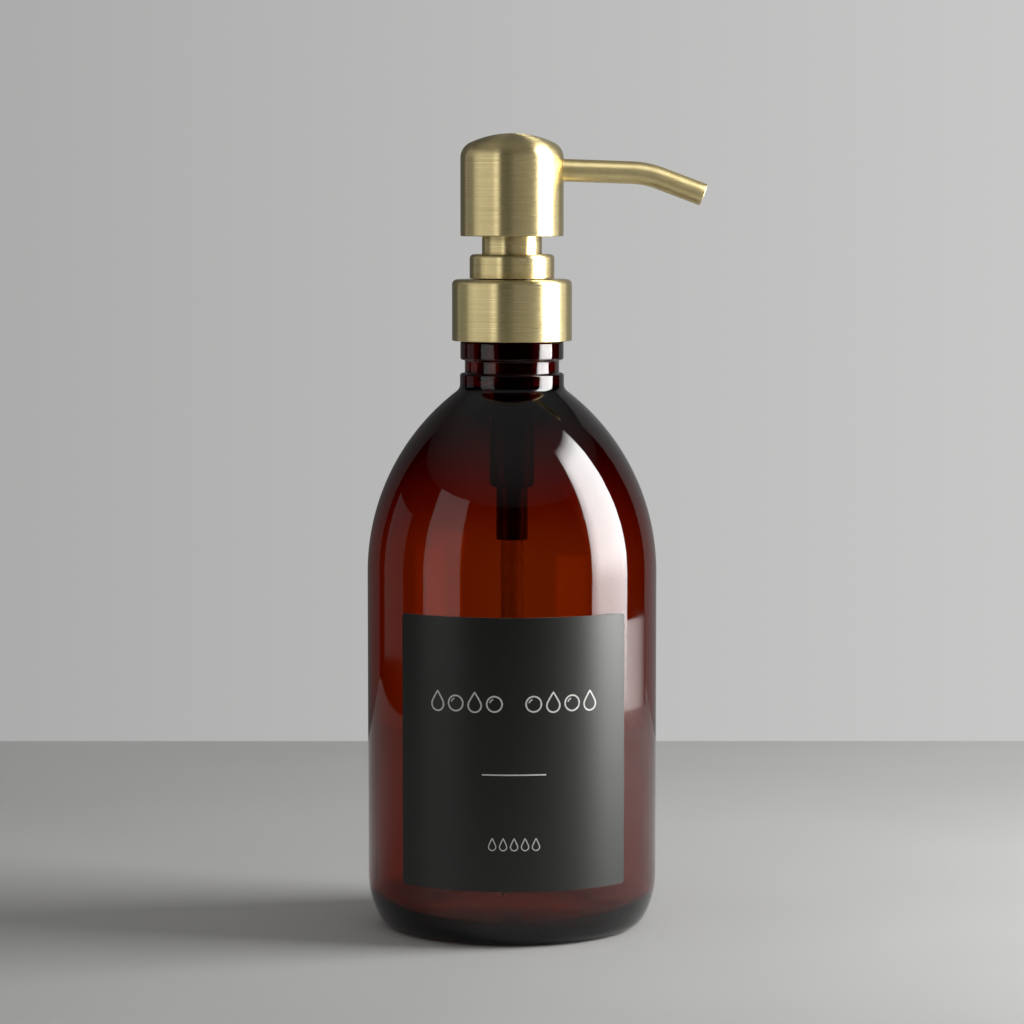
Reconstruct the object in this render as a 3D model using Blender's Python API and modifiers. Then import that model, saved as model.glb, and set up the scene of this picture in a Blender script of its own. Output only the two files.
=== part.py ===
"""Soap pump dispenser: a glass bottle with a screw-on lotion pump that has a bent metal spout.

Metres, +Z up. The origin is the middle of the bottle's base, where it stands. The spout points along +X
and the label faces -Y. All turned pieces share the upright axis through the origin.
"""

import math

import bmesh
import bpy
from mathutils import Matrix, Vector

MM = 0.001

# ---- clearances ----
GAP = 0.3 * MM  # between pieces that touch or slide on each other
STOP_CLEARANCE = 0.5 * MM  # left under the head at the bottom of its stroke

# ---- how finely round pieces are divided ----
LARGE_STEPS = 32
SMALL_STEPS = 20
THREAD_STEPS = 20

# ---- bottle ----
BODY_RADIUS = 38.75 * MM
GLASS_WALL = 2.3 * MM
GLASS_BASE = 4.0 * MM
HEEL_START_Z = 14.0 * MM  # where the straight side starts to curve in
HEEL_UPPER_RADIUS = 24.0 * MM
HEEL_LOWER_RADIUS = 5.5 * MM
INNER_HEEL_RADIUS = 8.0 * MM
SHOULDER_RADIUS = 61.0 * MM
NECK_ROOT_Z = 144.5 * MM  # where the shoulder meets the neck
SHOULDER_GLASS_DEPTH = 6.0 * MM  # neck's root down to the end of its bore, over the thick glass of the shoulder
FINISH_RADIUS = 12.5 * MM  # neck wall between the turns of the thread
FINISH_HEIGHT = 11.6 * MM  # from the top of the bead to the rim
NECK_WALL = 3.0 * MM
LOWER_RING_STEP = 1.4 * MM  # lower ring, groove and bead stand this far proud of the finish
LOWER_RING_HEIGHT = 4.1 * MM
GROOVE_STEP = 0.1 * MM
GROOVE_HEIGHT = 3.6 * MM
BEAD_STEP = 1.3 * MM
BEAD_HEIGHT = 5.0 * MM
EDGE_ROUND = 0.5 * MM

# ---- screw thread, right-handed, six turns to the inch ----
THREAD_PITCH = 25.4 / 6 * MM
THREAD_TURNS = 1.5
LINER_THREAD_TURNS = 1.1
THREAD_DEPTH = 1.2 * MM
THREAD_CREST_HALF = 0.45 * MM
THREAD_ROOT_HALF = 1.1 * MM
THREAD_SINK = 0.35 * MM  # how far a ridge reaches into the wall that carries it
THREAD_END_Z = 1.8 * MM  # from the rim down to the middle of the last turn
THREAD_FLANK_GAP = 1.55 * MM  # middle of a bottle ridge down to the middle of the liner ridge under it

# ---- label ----
LABEL_WIDTH = 65.5 * MM
LABEL_ABOVE_HEEL = 1.4 * MM
LABEL_BELOW_SHOULDER = 8.3 * MM
LABEL_THICKNESS = 0.25 * MM
LABEL_CORNER = 1.2 * MM
LABEL_COLUMNS = 16

# ---- closure ----
GASKET_THICKNESS = 0.9 * MM
FLANGE_THICKNESS = 1.1 * MM
FLANGE_INSET = 0.3 * MM  # flange and gasket stay this far inside the neck's outer wall
LINER_TOP = 1.1 * MM
LINER_WALL = 0.9 * MM
LINER_CLEARANCE = 0.6 * MM  # from the thread's crest to the liner's wall
SHELL_WALL = 0.5 * MM
COLLAR_HEIGHT = 16.3 * MM
METAL_ROUND = 1.3 * MM  # outer edge of a drawn metal shell
LINER_LIFT = 0.4 * MM  # the liner ends this far above the shell's lower edge

# ---- ring and tower ----
RING_RADIUS = 11.3 * MM
RING_HEIGHT = 6.4 * MM
RING_WALL = 0.4 * MM
TOWER_RADIUS = 8.0 * MM
TOWER_WALL = 0.4 * MM
TOWER_HEIGHT = 6.3 * MM  # above the ring
TOWER_LIP_SETBACK = 0.7 * MM  # from the guide's well to the rolled-in top edge
GUIDE_PLATE = 1.2 * MM
GUIDE_RIM_WALL = 1.0 * MM

# ---- pump ----
STROKE = 11.0 * MM
PISTON_BORE_RADIUS = 5.0 * MM
BARREL_WALL = 1.0 * MM
BARREL_LENGTH = 50.7 * MM  # from the flange's underside to the barrel's
SOCKET_LENGTH = 14.9 * MM
SOCKET_WALL = 0.9 * MM
SOCKET_SHOULDER = 2.1 * MM  # barrel's underside down to the stop for the dip tube
BARREL_CHAMFER = 0.8 * MM
UPPER_BARREL_LENGTH = 9.1 * MM  # wide part of the barrel, from its bore's step up to the flange
PLUG_WALL = 1.0 * MM  # skirt that hangs from the flange and centres the housing in the neck
PLUG_ABOVE_ROOT = 2.0 * MM  # where the plug ends, above the neck's root
GUIDE_SPIGOT_RADIUS = 6.4 * MM
LIP_WALL = 0.8 * MM
LIP_HEIGHT = 2.0 * MM
SEAL_THICKNESS = 1.7 * MM
DIP_TUBE_RADIUS = 3.0 * MM
DIP_TUBE_WALL = 0.8 * MM
DIP_TUBE_CLEARANCE = 2.5 * MM  # above the glass
DIP_TUBE_CUT_DEG = 30.0
STEM_RADIUS = 3.2 * MM
STEM_BORE_RADIUS = 1.4 * MM
PISTON_LENGTH = 8.5 * MM
PISTON_FLOOR = 1.2 * MM
PISTON_HOLE_RADIUS = 1.8 * MM
PISTON_LIP = 1.2 * MM
PISTON_WAIST = 0.35 * MM

# ---- valves ----
INLET_BALL_RADIUS = 2.2 * MM
INLET_HOLE_RADIUS = 1.3 * MM
INLET_SEAT_RISE = 0.3 * MM  # foot of the seat's cone above the barrel's underside
INLET_SEAT_RADIUS = 3.6 * MM
CAGE_BORE_RADIUS = 2.8 * MM
CAGE_TOP = 1.0 * MM
CAGE_HOLE_RADIUS = 1.2 * MM
CAGE_SLOT_WIDTH = 1.6 * MM
CAGE_RING_HEIGHT = 1.5 * MM
OUTLET_BALL_RADIUS = 1.9 * MM
OUTLET_CHAMBER_RADIUS = 2.4 * MM
OUTLET_CHAMBER_DEPTH = 4.4 * MM
BALL_LIFT = 1.5 * MM

# ---- return spring ----
SPRING_WIRE_RADIUS = 0.4 * MM
SPRING_RADIUS = 3.95 * MM  # middle of the wire
SPRING_TURNS = 7.5
SPRING_POINTS_PER_TURN = 10

# ---- head ----
HEAD_RADIUS = 13.75 * MM
HEAD_HEIGHT = 27.3 * MM
HEAD_WALL = 0.8 * MM
HEAD_CROWN_RADIUS = 26.5 * MM
HEAD_EDGE_RADIUS = 4.5 * MM
CORE_TOP_DEPTH = 3.8 * MM  # top of the head down to the top of the core
CORE_CHAMFER = 3.6 * MM
CORE_SKIRT_WALL = 1.5 * MM
CORE_SKIRT_OVERLAP = 2.1 * MM  # how far the skirt still reaches into the tower when the head is up
CORE_FLOOR = 1.2 * MM  # left under the spout's socket
CORE_LEDGE_DROP = 1.1 * MM  # core's underside down to the ledge over the stem
CORE_CHANNEL_RADIUS = 1.6 * MM
BYPASS_SLOT_WIDTH = 1.0 * MM
BYPASS_SLOT_REACH = 2.9 * MM

# ---- spout ----
SPOUT_RADIUS = 3.0 * MM
SPOUT_WALL = 0.5 * MM
SPOUT_START_X = 6.5 * MM
SPOUT_TIP_X = 51.0 * MM
SPOUT_TIP_DROP = 6.55 * MM  # tip's middle below the point where the spout leaves the head
SPOUT_FIRST_SLOPE_DEG = 2.0
SPOUT_LAST_SLOPE_DEG = 20.8
SPOUT_BEND_RADIUS = 24.0 * MM
SPOUT_LINER_WALL = 0.5 * MM
SPOUT_LINER_SETBACK = 0.5 * MM  # from either end of the metal tube
SPOUT_BEND_POINTS = 6

# ---- heights and radii that follow from the sizes above ----
NECK_BORE_RADIUS = FINISH_RADIUS - NECK_WALL
LOWER_RING_RADIUS = FINISH_RADIUS + LOWER_RING_STEP
GROOVE_RADIUS = FINISH_RADIUS + GROOVE_STEP
BEAD_RADIUS = FINISH_RADIUS + BEAD_STEP
SHOULDER_CENTRE_R = BODY_RADIUS - SHOULDER_RADIUS
SHOULDER_RISE = math.sqrt(SHOULDER_RADIUS**2 - (LOWER_RING_RADIUS - SHOULDER_CENTRE_R) ** 2)
SHOULDER_START_Z = NECK_ROOT_Z - SHOULDER_RISE
INNER_RADIUS = BODY_RADIUS - GLASS_WALL
INNER_SHOULDER_RISE = SHOULDER_RISE - SHOULDER_GLASS_DEPTH
LABEL_BOTTOM_Z = HEEL_START_Z + LABEL_ABOVE_HEEL
LABEL_TOP_Z = SHOULDER_START_Z - LABEL_BELOW_SHOULDER
LOWER_RING_TOP_Z = NECK_ROOT_Z + LOWER_RING_HEIGHT
BEAD_BOTTOM_Z = LOWER_RING_TOP_Z + GROOVE_HEIGHT
BEAD_TOP_Z = BEAD_BOTTOM_Z + BEAD_HEIGHT
RIM_Z = BEAD_TOP_Z + FINISH_HEIGHT
GASKET_BOTTOM_Z = RIM_Z + GAP
FLANGE_BOTTOM_Z = GASKET_BOTTOM_Z + GASKET_THICKNESS + GAP
FLANGE_TOP_Z = FLANGE_BOTTOM_Z + FLANGE_THICKNESS
BARREL_BOTTOM_Z = FLANGE_BOTTOM_Z - BARREL_LENGTH
LINER_CEILING_Z = FLANGE_TOP_Z + GAP
LINER_TOP_Z = LINER_CEILING_Z + LINER_TOP
COLLAR_TOP_Z = LINER_TOP_Z + GAP + SHELL_WALL
COLLAR_BOTTOM_Z = COLLAR_TOP_Z - COLLAR_HEIGHT
RING_BOTTOM_Z = COLLAR_TOP_Z + GAP
RING_TOP_Z = RING_BOTTOM_Z + RING_HEIGHT
TOWER_TOP_Z = RING_TOP_Z + TOWER_HEIGHT
HEAD_BOTTOM_Z = COLLAR_TOP_Z + STROKE + STOP_CLEARANCE
HEAD_TOP_Z = HEAD_BOTTOM_Z + HEAD_HEIGHT
CORE_BOTTOM_Z = TOWER_TOP_Z + STROKE + STOP_CLEARANCE
CORE_TOP_Z = HEAD_TOP_Z - CORE_TOP_DEPTH
CORE_LEDGE_Z = CORE_BOTTOM_Z - CORE_LEDGE_DROP
SKIRT_BOTTOM_Z = TOWER_TOP_Z - CORE_SKIRT_OVERLAP
SPOUT_AXIS_Z = CORE_BOTTOM_Z + CORE_FLOOR + SPOUT_RADIUS + GAP
STEM_TOP_Z = CORE_LEDGE_Z - GAP

LINER_INNER_RADIUS = FINISH_RADIUS + THREAD_DEPTH + LINER_CLEARANCE
LINER_OUTER_RADIUS = LINER_INNER_RADIUS + LINER_WALL
COLLAR_RADIUS = LINER_OUTER_RADIUS + GAP + SHELL_WALL
FLANGE_RADIUS = FINISH_RADIUS - FLANGE_INSET
STEM_HOLE_RADIUS = STEM_RADIUS + GAP
SKIRT_RADIUS = STEM_HOLE_RADIUS + CORE_SKIRT_WALL
WELL_RADIUS = SKIRT_RADIUS + GAP
WELL_FLOOR_Z = SKIRT_BOTTOM_Z - STROKE - STOP_CLEARANCE
GUIDE_HUB_RADIUS = TOWER_RADIUS - TOWER_WALL - GAP
SPIGOT_BORE_RADIUS = GUIDE_SPIGOT_RADIUS + GAP
LIP_RADIUS = SPIGOT_BORE_RADIUS + LIP_WALL
COLLAR_HOLE_RADIUS = LIP_RADIUS + GAP
UPPER_BARREL_RADIUS = SPIGOT_BORE_RADIUS + BARREL_WALL
PLUG_RADIUS = NECK_BORE_RADIUS - GAP
PLUG_BOTTOM_Z = NECK_ROOT_Z + PLUG_ABOVE_ROOT
BARREL_RADIUS = PISTON_BORE_RADIUS + BARREL_WALL
BORE_STEP_Z = FLANGE_BOTTOM_Z - UPPER_BARREL_LENGTH
SEAL_BOTTOM_Z = BORE_STEP_Z + GAP
SPIGOT_BOTTOM_Z = SEAL_BOTTOM_Z + SEAL_THICKNESS + GAP
PISTON_TOP_Z = SEAL_BOTTOM_Z - GAP
PISTON_BOTTOM_Z = PISTON_TOP_Z - PISTON_LENGTH
PISTON_RADIUS = PISTON_BORE_RADIUS - GAP
STEM_BOTTOM_Z = PISTON_BOTTOM_Z + PISTON_FLOOR + GAP
SOCKET_BORE_RADIUS = DIP_TUBE_RADIUS + GAP
SOCKET_RADIUS = SOCKET_BORE_RADIUS + SOCKET_WALL
SOCKET_TOP_Z = BARREL_BOTTOM_Z - SOCKET_SHOULDER
SOCKET_BOTTOM_Z = BARREL_BOTTOM_Z - SOCKET_LENGTH
DIP_TUBE_TOP_Z = SOCKET_TOP_Z - GAP
DIP_TUBE_BOTTOM_Z = GLASS_BASE + DIP_TUBE_CLEARANCE
INLET_SEAT_Z = BARREL_BOTTOM_Z + INLET_SEAT_RISE
BARREL_FLOOR_Z = INLET_SEAT_Z + INLET_SEAT_RADIUS - INLET_HOLE_RADIUS
CAGE_BOTTOM_Z = BARREL_FLOOR_Z + GAP


def ball_rest_height(hole_radius, cone_foot_z, ball_radius):
    """Middle of a ball that lies, one GAP clear, in a 45 degree cone that widens upwards from a hole."""
    return cone_foot_z - hole_radius + (ball_radius + GAP) * math.sqrt(2)


INLET_BALL_Z = ball_rest_height(INLET_HOLE_RADIUS, INLET_SEAT_Z, INLET_BALL_RADIUS)
CAGE_CEILING_Z = INLET_BALL_Z + BALL_LIFT + INLET_BALL_RADIUS + GAP
CAGE_TOP_Z = CAGE_CEILING_Z + CAGE_TOP
OUTLET_SEAT_Z = STEM_TOP_Z - OUTLET_CHAMBER_DEPTH
OUTLET_BALL_Z = ball_rest_height(STEM_BORE_RADIUS, OUTLET_SEAT_Z, OUTLET_BALL_RADIUS)
SPRING_BOTTOM_Z = CAGE_TOP_Z + GAP
SPRING_TOP_Z = PISTON_BOTTOM_Z - GAP


# ---- scene set-up and materials ----
for old in list(bpy.data.objects):
    bpy.data.objects.remove(old, do_unlink=True)

PARTS = bpy.data.collections.new("soap_pump_dispenser")
CUTTERS = bpy.data.collections.new("cutters")
bpy.context.scene.collection.children.link(PARTS)
bpy.context.scene.collection.children.link(CUTTERS)


def make_material(name, color, roughness, metallic=0.0, transmission=0.0):
    material = bpy.data.materials.new(name)
    material.use_nodes = True
    shader = material.node_tree.nodes["Principled BSDF"]
    shader.inputs["Base Color"].default_value = (*color, 1.0)
    shader.inputs["Roughness"].default_value = roughness
    shader.inputs["Metallic"].default_value = metallic
    shader.inputs["Transmission Weight"].default_value = transmission
    material.diffuse_color = (*color, 1.0)
    return material


def amber_glass(name):
    return make_material(name, (0.32, 0.07, 0.01), 0.05, transmission=0.9)


def label_paper(name):
    return make_material(name, (0.02, 0.02, 0.017), 0.45)


def brushed_brass(name):
    return make_material(name, (0.62, 0.51, 0.27), 0.32, metallic=1.0)


def moulded_plastic(name):
    return make_material(name, (0.03, 0.03, 0.03), 0.5)


def natural_plastic(name):
    return make_material(name, (0.8, 0.8, 0.77), 0.4)


def soft_rubber(name):
    return make_material(name, (0.05, 0.05, 0.05), 0.8)


def steel(name):
    return make_material(name, (0.6, 0.6, 0.6), 0.25, metallic=1.0)


# ---- modelling helpers ----
def arc(centre_r, centre_z, radius, start_deg, end_deg, count):
    """Points on an arc in the (radius, height) plane, both ends included."""
    points = []
    for i in range(count + 1):
        angle = math.radians(start_deg + (end_deg - start_deg) * i / count)
        points.append((centre_r + radius * math.cos(angle), centre_z + radius * math.sin(angle)))
    return points


def add_object(name, data, collection, material=None):
    obj = bpy.data.objects.new(name, data)
    collection.objects.link(obj)
    if material is not None:
        data.materials.append(material)
    return obj


def mesh_from(bm, name, smooth=True):
    mesh = bpy.data.meshes.new(name)
    bm.to_mesh(mesh)
    bm.free()
    if smooth:
        mesh.shade_smooth()
        mesh.set_sharp_from_angle(angle=math.radians(35))
    return mesh


def turned(name, profile, material, closed, steps=LARGE_STEPS):
    """A turned piece. The profile runs down the outer side; closed is False where both ends lie on the axis."""
    mesh = bpy.data.meshes.new(name)
    last = len(profile) if closed else len(profile) - 1
    edges = [(i, (i + 1) % len(profile)) for i in range(last)]
    mesh.from_pydata([(r, 0.0, z) for r, z in profile], edges, [])
    obj = add_object(name, mesh, PARTS, material)
    screw = obj.modifiers.new("turn", "SCREW")
    screw.axis = "Z"
    screw.angle = 2 * math.pi
    screw.steps = steps
    screw.render_steps = steps
    screw.use_merge_vertices = True
    screw.merge_threshold = 0.00001
    screw.use_smooth_shade = True
    return obj


def cutter(name, bm):
    obj = add_object(name, mesh_from(bm, name, smooth=False), CUTTERS)
    obj.hide_render = True
    obj.display_type = "WIRE"
    return obj


def box_cutter(name, low, high):
    bm = bmesh.new()
    size = Vector(high) - Vector(low)
    middle = (Vector(high) + Vector(low)) / 2
    place = Matrix.Translation(middle) @ Matrix.Diagonal((*size, 1.0))
    bmesh.ops.create_cube(bm, size=1.0, matrix=place)
    return cutter(name, bm)


def rod_cutter(name, start, end, radius):
    bm = bmesh.new()
    along = Vector(end) - Vector(start)
    turn = along.to_track_quat("Z", "X").to_matrix().to_4x4()
    place = Matrix.Translation((Vector(start) + Vector(end)) / 2) @ turn
    bmesh.ops.create_cone(
        bm, cap_ends=True, segments=16, radius1=radius, radius2=radius, depth=along.length, matrix=place
    )
    return cutter(name, bm)


def boolean(obj, tool, operation="DIFFERENCE"):
    step = obj.modifiers.new(tool.name, "BOOLEAN")
    step.operation = operation
    step.solver = "EXACT"
    step.object = tool


def ball(name, radius, height, material):
    bm = bmesh.new()
    bmesh.ops.create_uvsphere(bm, u_segments=14, v_segments=9, radius=radius)
    obj = add_object(name, mesh_from(bm, name), PARTS, material)
    obj.location = (0.0, 0.0, height)
    return obj


def thread_ridge(name, root_radius, crest_radius, start_z, turns):
    """A right-handed helical ridge with tapered ends, sunk a little into the wall that carries it."""
    outward = 1.0 if crest_radius > root_radius else -1.0
    buried_radius = root_radius - outward * THREAD_SINK
    sections = int(round(THREAD_STEPS * turns))
    bm = bmesh.new()
    rings = []
    for i in range(sections + 1):
        angle = 2 * math.pi * i / THREAD_STEPS
        z = start_z + THREAD_PITCH * i / THREAD_STEPS
        from_end = min(i, sections - i)
        height = min(1.0, (from_end + 0.5) / 2.5)
        tip_radius = root_radius + (crest_radius - root_radius) * height
        corners = (
            (buried_radius, -THREAD_ROOT_HALF),
            (tip_radius, -THREAD_CREST_HALF),
            (tip_radius, THREAD_CREST_HALF),
            (buried_radius, THREAD_ROOT_HALF),
        )
        ring = [bm.verts.new((r * math.cos(angle), r * math.sin(angle), z + dz)) for r, dz in corners]
        rings.append(ring)
    for first, second in zip(rings, rings[1:]):
        for a in range(4):
            b = (a + 1) % 4
            bm.faces.new((first[a], first[b], second[b], second[a]))
    bm.faces.new(rings[0])
    bm.faces.new(rings[-1])
    bmesh.ops.recalc_face_normals(bm, faces=bm.faces)
    return cutter(name, bm)


def hollow_curve(name, points, outer_radius, wall, sides, material):
    """A tube along points: a curve's open skin, thickened inwards."""
    curve = bpy.data.curves.new(name, "CURVE")
    curve.dimensions = "3D"
    curve.bevel_depth = outer_radius
    curve.bevel_resolution = sides // 2 - 2
    curve.use_fill_caps = False
    spline = curve.splines.new("POLY")
    spline.points.add(len(points) - 1)
    for place, point in zip(spline.points, points):
        place.co = (*point, 1.0)
    obj = add_object(name, curve, PARTS, material)
    skin = obj.modifiers.new("wall", "SOLIDIFY")
    skin.thickness = wall
    skin.offset = -1.0
    return obj


# ---- bottle and label ----
def bottle_profile():
    centre_r = SHOULDER_CENTRE_R
    inner_reach = INNER_RADIUS - NECK_BORE_RADIUS
    inner_arc_radius = (inner_reach**2 + INNER_SHOULDER_RISE**2) / (2 * inner_reach)
    inner_end = math.degrees(math.asin(INNER_SHOULDER_RISE / inner_arc_radius))
    outer_end = math.degrees(math.acos((LOWER_RING_RADIUS - centre_r) / SHOULDER_RADIUS))
    heel_swing = math.degrees(
        math.asin((HEEL_START_Z - HEEL_LOWER_RADIUS) / (HEEL_UPPER_RADIUS - HEEL_LOWER_RADIUS))
    )
    heel_r = BODY_RADIUS - HEEL_UPPER_RADIUS
    lower_shift = HEEL_UPPER_RADIUS - HEEL_LOWER_RADIUS
    lower_r = heel_r + lower_shift * math.cos(math.radians(heel_swing))

    inner_heel_r = INNER_RADIUS - INNER_HEEL_RADIUS
    inner_heel_z = GLASS_BASE + INNER_HEEL_RADIUS
    inside = [(0.0, GLASS_BASE)]
    inside += arc(inner_heel_r, inner_heel_z, INNER_HEEL_RADIUS, -90, 0, 3)
    inside += arc(INNER_RADIUS - inner_arc_radius, SHOULDER_START_Z, inner_arc_radius, 0, inner_end, 7)
    inside += [(NECK_BORE_RADIUS, RIM_Z - EDGE_ROUND)]

    outside = [(NECK_BORE_RADIUS + EDGE_ROUND, RIM_Z)]
    outside += [(FINISH_RADIUS - EDGE_ROUND, RIM_Z), (FINISH_RADIUS, RIM_Z - EDGE_ROUND)]
    outside += [(FINISH_RADIUS, BEAD_TOP_Z + EDGE_ROUND), (BEAD_RADIUS, BEAD_TOP_Z)]
    outside += [(BEAD_RADIUS, BEAD_BOTTOM_Z), (GROOVE_RADIUS, BEAD_BOTTOM_Z)]
    outside += [(GROOVE_RADIUS, LOWER_RING_TOP_Z), (LOWER_RING_RADIUS, LOWER_RING_TOP_Z)]
    outside += arc(centre_r, SHOULDER_START_Z, SHOULDER_RADIUS, outer_end, 0, 9)
    outside += arc(heel_r, HEEL_START_Z, HEEL_UPPER_RADIUS, 0, -heel_swing, 3)
    outside += arc(lower_r, HEEL_LOWER_RADIUS, HEEL_LOWER_RADIUS, -heel_swing, -90, 3)[1:]
    outside += [(0.0, 0.0)]
    return inside + outside


def thread_start_z():
    return RIM_Z - THREAD_END_Z - THREAD_PITCH * THREAD_TURNS


def make_bottle():
    bottle = turned("bottle", bottle_profile(), amber_glass("amber_glass"), closed=False)
    crest = FINISH_RADIUS + THREAD_DEPTH
    ridge = thread_ridge("bottle_thread", FINISH_RADIUS, crest, thread_start_z(), THREAD_TURNS)
    boolean(bottle, ridge, "UNION")


def make_label():
    radius = BODY_RADIUS + GAP / 2
    height = LABEL_TOP_Z - LABEL_BOTTOM_Z
    bm = bmesh.new()
    bmesh.ops.create_grid(bm, x_segments=LABEL_COLUMNS, y_segments=1, size=0.5)
    for vert in bm.verts:
        vert.co = Vector((vert.co.x * LABEL_WIDTH, vert.co.y * height, 0.0))
    corners = [v for v in bm.verts if len(v.link_edges) == 2]
    bmesh.ops.bevel(bm, geom=corners, offset=LABEL_CORNER, segments=3, profile=0.5, affect="VERTICES")
    middle_z = (LABEL_TOP_Z + LABEL_BOTTOM_Z) / 2
    for vert in bm.verts:
        turn = vert.co.x / radius
        vert.co = Vector((radius * math.sin(turn), -radius * math.cos(turn), middle_z + vert.co.y))
    label = add_object("front_label", mesh_from(bm, "front_label"), PARTS, label_paper("label_paper"))
    skin = label.modifiers.new("paper", "SOLIDIFY")
    skin.thickness = LABEL_THICKNESS
    skin.offset = 1.0


# ---- closure ----
def make_collar_shell():
    top = COLLAR_TOP_Z
    outer = COLLAR_RADIUS
    inner = outer - SHELL_WALL
    under = top - SHELL_WALL
    inner_round = METAL_ROUND - SHELL_WALL
    profile = [(COLLAR_HOLE_RADIUS, top)]
    profile += arc(outer - METAL_ROUND, top - METAL_ROUND, METAL_ROUND, 90, 0, 3)
    profile += [(outer, COLLAR_BOTTOM_Z + EDGE_ROUND), (outer - EDGE_ROUND / 2, COLLAR_BOTTOM_Z)]
    profile += [(inner, COLLAR_BOTTOM_Z)]
    profile += arc(inner - inner_round, under - inner_round, inner_round, 0, 90, 2)
    profile += [(COLLAR_HOLE_RADIUS, under)]
    turned("collar_shell", profile, brushed_brass("collar_brass"), closed=True)


def make_collar_liner():
    profile = [
        (COLLAR_HOLE_RADIUS, LINER_TOP_Z),
        (LINER_OUTER_RADIUS - METAL_ROUND, LINER_TOP_Z),
        (LINER_OUTER_RADIUS, LINER_TOP_Z - METAL_ROUND),
        (LINER_OUTER_RADIUS, COLLAR_BOTTOM_Z + LINER_LIFT),
        (LINER_INNER_RADIUS, COLLAR_BOTTOM_Z + LINER_LIFT),
        (LINER_INNER_RADIUS, LINER_CEILING_Z),
        (COLLAR_HOLE_RADIUS, LINER_CEILING_Z),
    ]
    liner = turned("collar_liner", profile, moulded_plastic("liner_plastic"), closed=True)
    crest = FINISH_RADIUS + GAP * 1.5
    start_z = thread_start_z() - THREAD_FLANK_GAP + THREAD_PITCH * (THREAD_TURNS - LINER_THREAD_TURNS)
    phase_turns = THREAD_TURNS - LINER_THREAD_TURNS
    ridge = thread_ridge("liner_thread", LINER_INNER_RADIUS, crest, start_z, LINER_THREAD_TURNS)
    ridge.rotation_euler = (0.0, 0.0, 2 * math.pi * phase_turns)
    boolean(liner, ridge, "UNION")


def make_neck_gasket():
    inner = PLUG_RADIUS + GAP
    top = GASKET_BOTTOM_Z + GASKET_THICKNESS
    profile = [(inner, top), (FLANGE_RADIUS, top), (FLANGE_RADIUS, GASKET_BOTTOM_Z), (inner, GASKET_BOTTOM_Z)]
    turned("neck_gasket", profile, soft_rubber("gasket_rubber"), closed=True)


# ---- ring, tower and stem guide ----
def make_ring_shell():
    top = RING_TOP_Z
    hole = TOWER_RADIUS + GAP
    inner = RING_RADIUS - RING_WALL
    inner_round = METAL_ROUND - RING_WALL
    under = top - RING_WALL
    profile = [(hole, top)]
    profile += arc(RING_RADIUS - METAL_ROUND, top - METAL_ROUND, METAL_ROUND, 90, 0, 3)
    profile += [(RING_RADIUS, RING_BOTTOM_Z), (inner, RING_BOTTOM_Z)]
    profile += arc(inner - inner_round, under - inner_round, inner_round, 0, 90, 2)
    profile += [(hole, under)]
    turned("ring_shell", profile, brushed_brass("ring_brass"), closed=True)


def make_tower_sleeve():
    bottom = RING_TOP_Z - RING_WALL
    inner = TOWER_RADIUS - TOWER_WALL
    lip_inner = WELL_RADIUS + TOWER_LIP_SETBACK
    under = TOWER_TOP_Z - TOWER_WALL
    profile = [
        (lip_inner, TOWER_TOP_Z),
        (TOWER_RADIUS - EDGE_ROUND, TOWER_TOP_Z),
        (TOWER_RADIUS, TOWER_TOP_Z - EDGE_ROUND),
        (TOWER_RADIUS, bottom),
        (inner, bottom),
        (inner, under),
        (lip_inner, under),
    ]
    turned("tower_sleeve", profile, brushed_brass("tower_brass"), closed=True)


def make_stem_guide():
    hub = GUIDE_HUB_RADIUS
    rim = RING_RADIUS - RING_WALL - GAP
    rim_inner = rim - GUIDE_RIM_WALL
    plate_top = RING_TOP_Z - RING_WALL - GAP
    plate_under = plate_top - GUIDE_PLATE
    tube_top = TOWER_TOP_Z - TOWER_WALL - GAP
    corner = METAL_ROUND - RING_WALL
    profile = [
        (WELL_RADIUS, tube_top),
        (hub, tube_top),
        (hub, plate_top),
        (rim - corner, plate_top),
        (rim, plate_top - corner),
        (rim, RING_BOTTOM_Z),
        (rim_inner, RING_BOTTOM_Z),
        (rim_inner, plate_under),
        (hub, plate_under),
        (hub, RING_BOTTOM_Z),
        (GUIDE_SPIGOT_RADIUS, RING_BOTTOM_Z),
        (GUIDE_SPIGOT_RADIUS, SPIGOT_BOTTOM_Z),
        (STEM_HOLE_RADIUS, SPIGOT_BOTTOM_Z),
        (STEM_HOLE_RADIUS, WELL_FLOOR_Z),
        (WELL_RADIUS, WELL_FLOOR_Z),
    ]
    turned("stem_guide", profile, moulded_plastic("guide_plastic"), closed=True, steps=SMALL_STEPS)


def make_stem_seal():
    top = SEAL_BOTTOM_Z + SEAL_THICKNESS
    profile = [
        (STEM_HOLE_RADIUS, top),
        (GUIDE_SPIGOT_RADIUS, top),
        (GUIDE_SPIGOT_RADIUS, SEAL_BOTTOM_Z),
        (STEM_HOLE_RADIUS, SEAL_BOTTOM_Z),
    ]
    turned("stem_seal", profile, soft_rubber("seal_rubber"), closed=True, steps=SMALL_STEPS)


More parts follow.
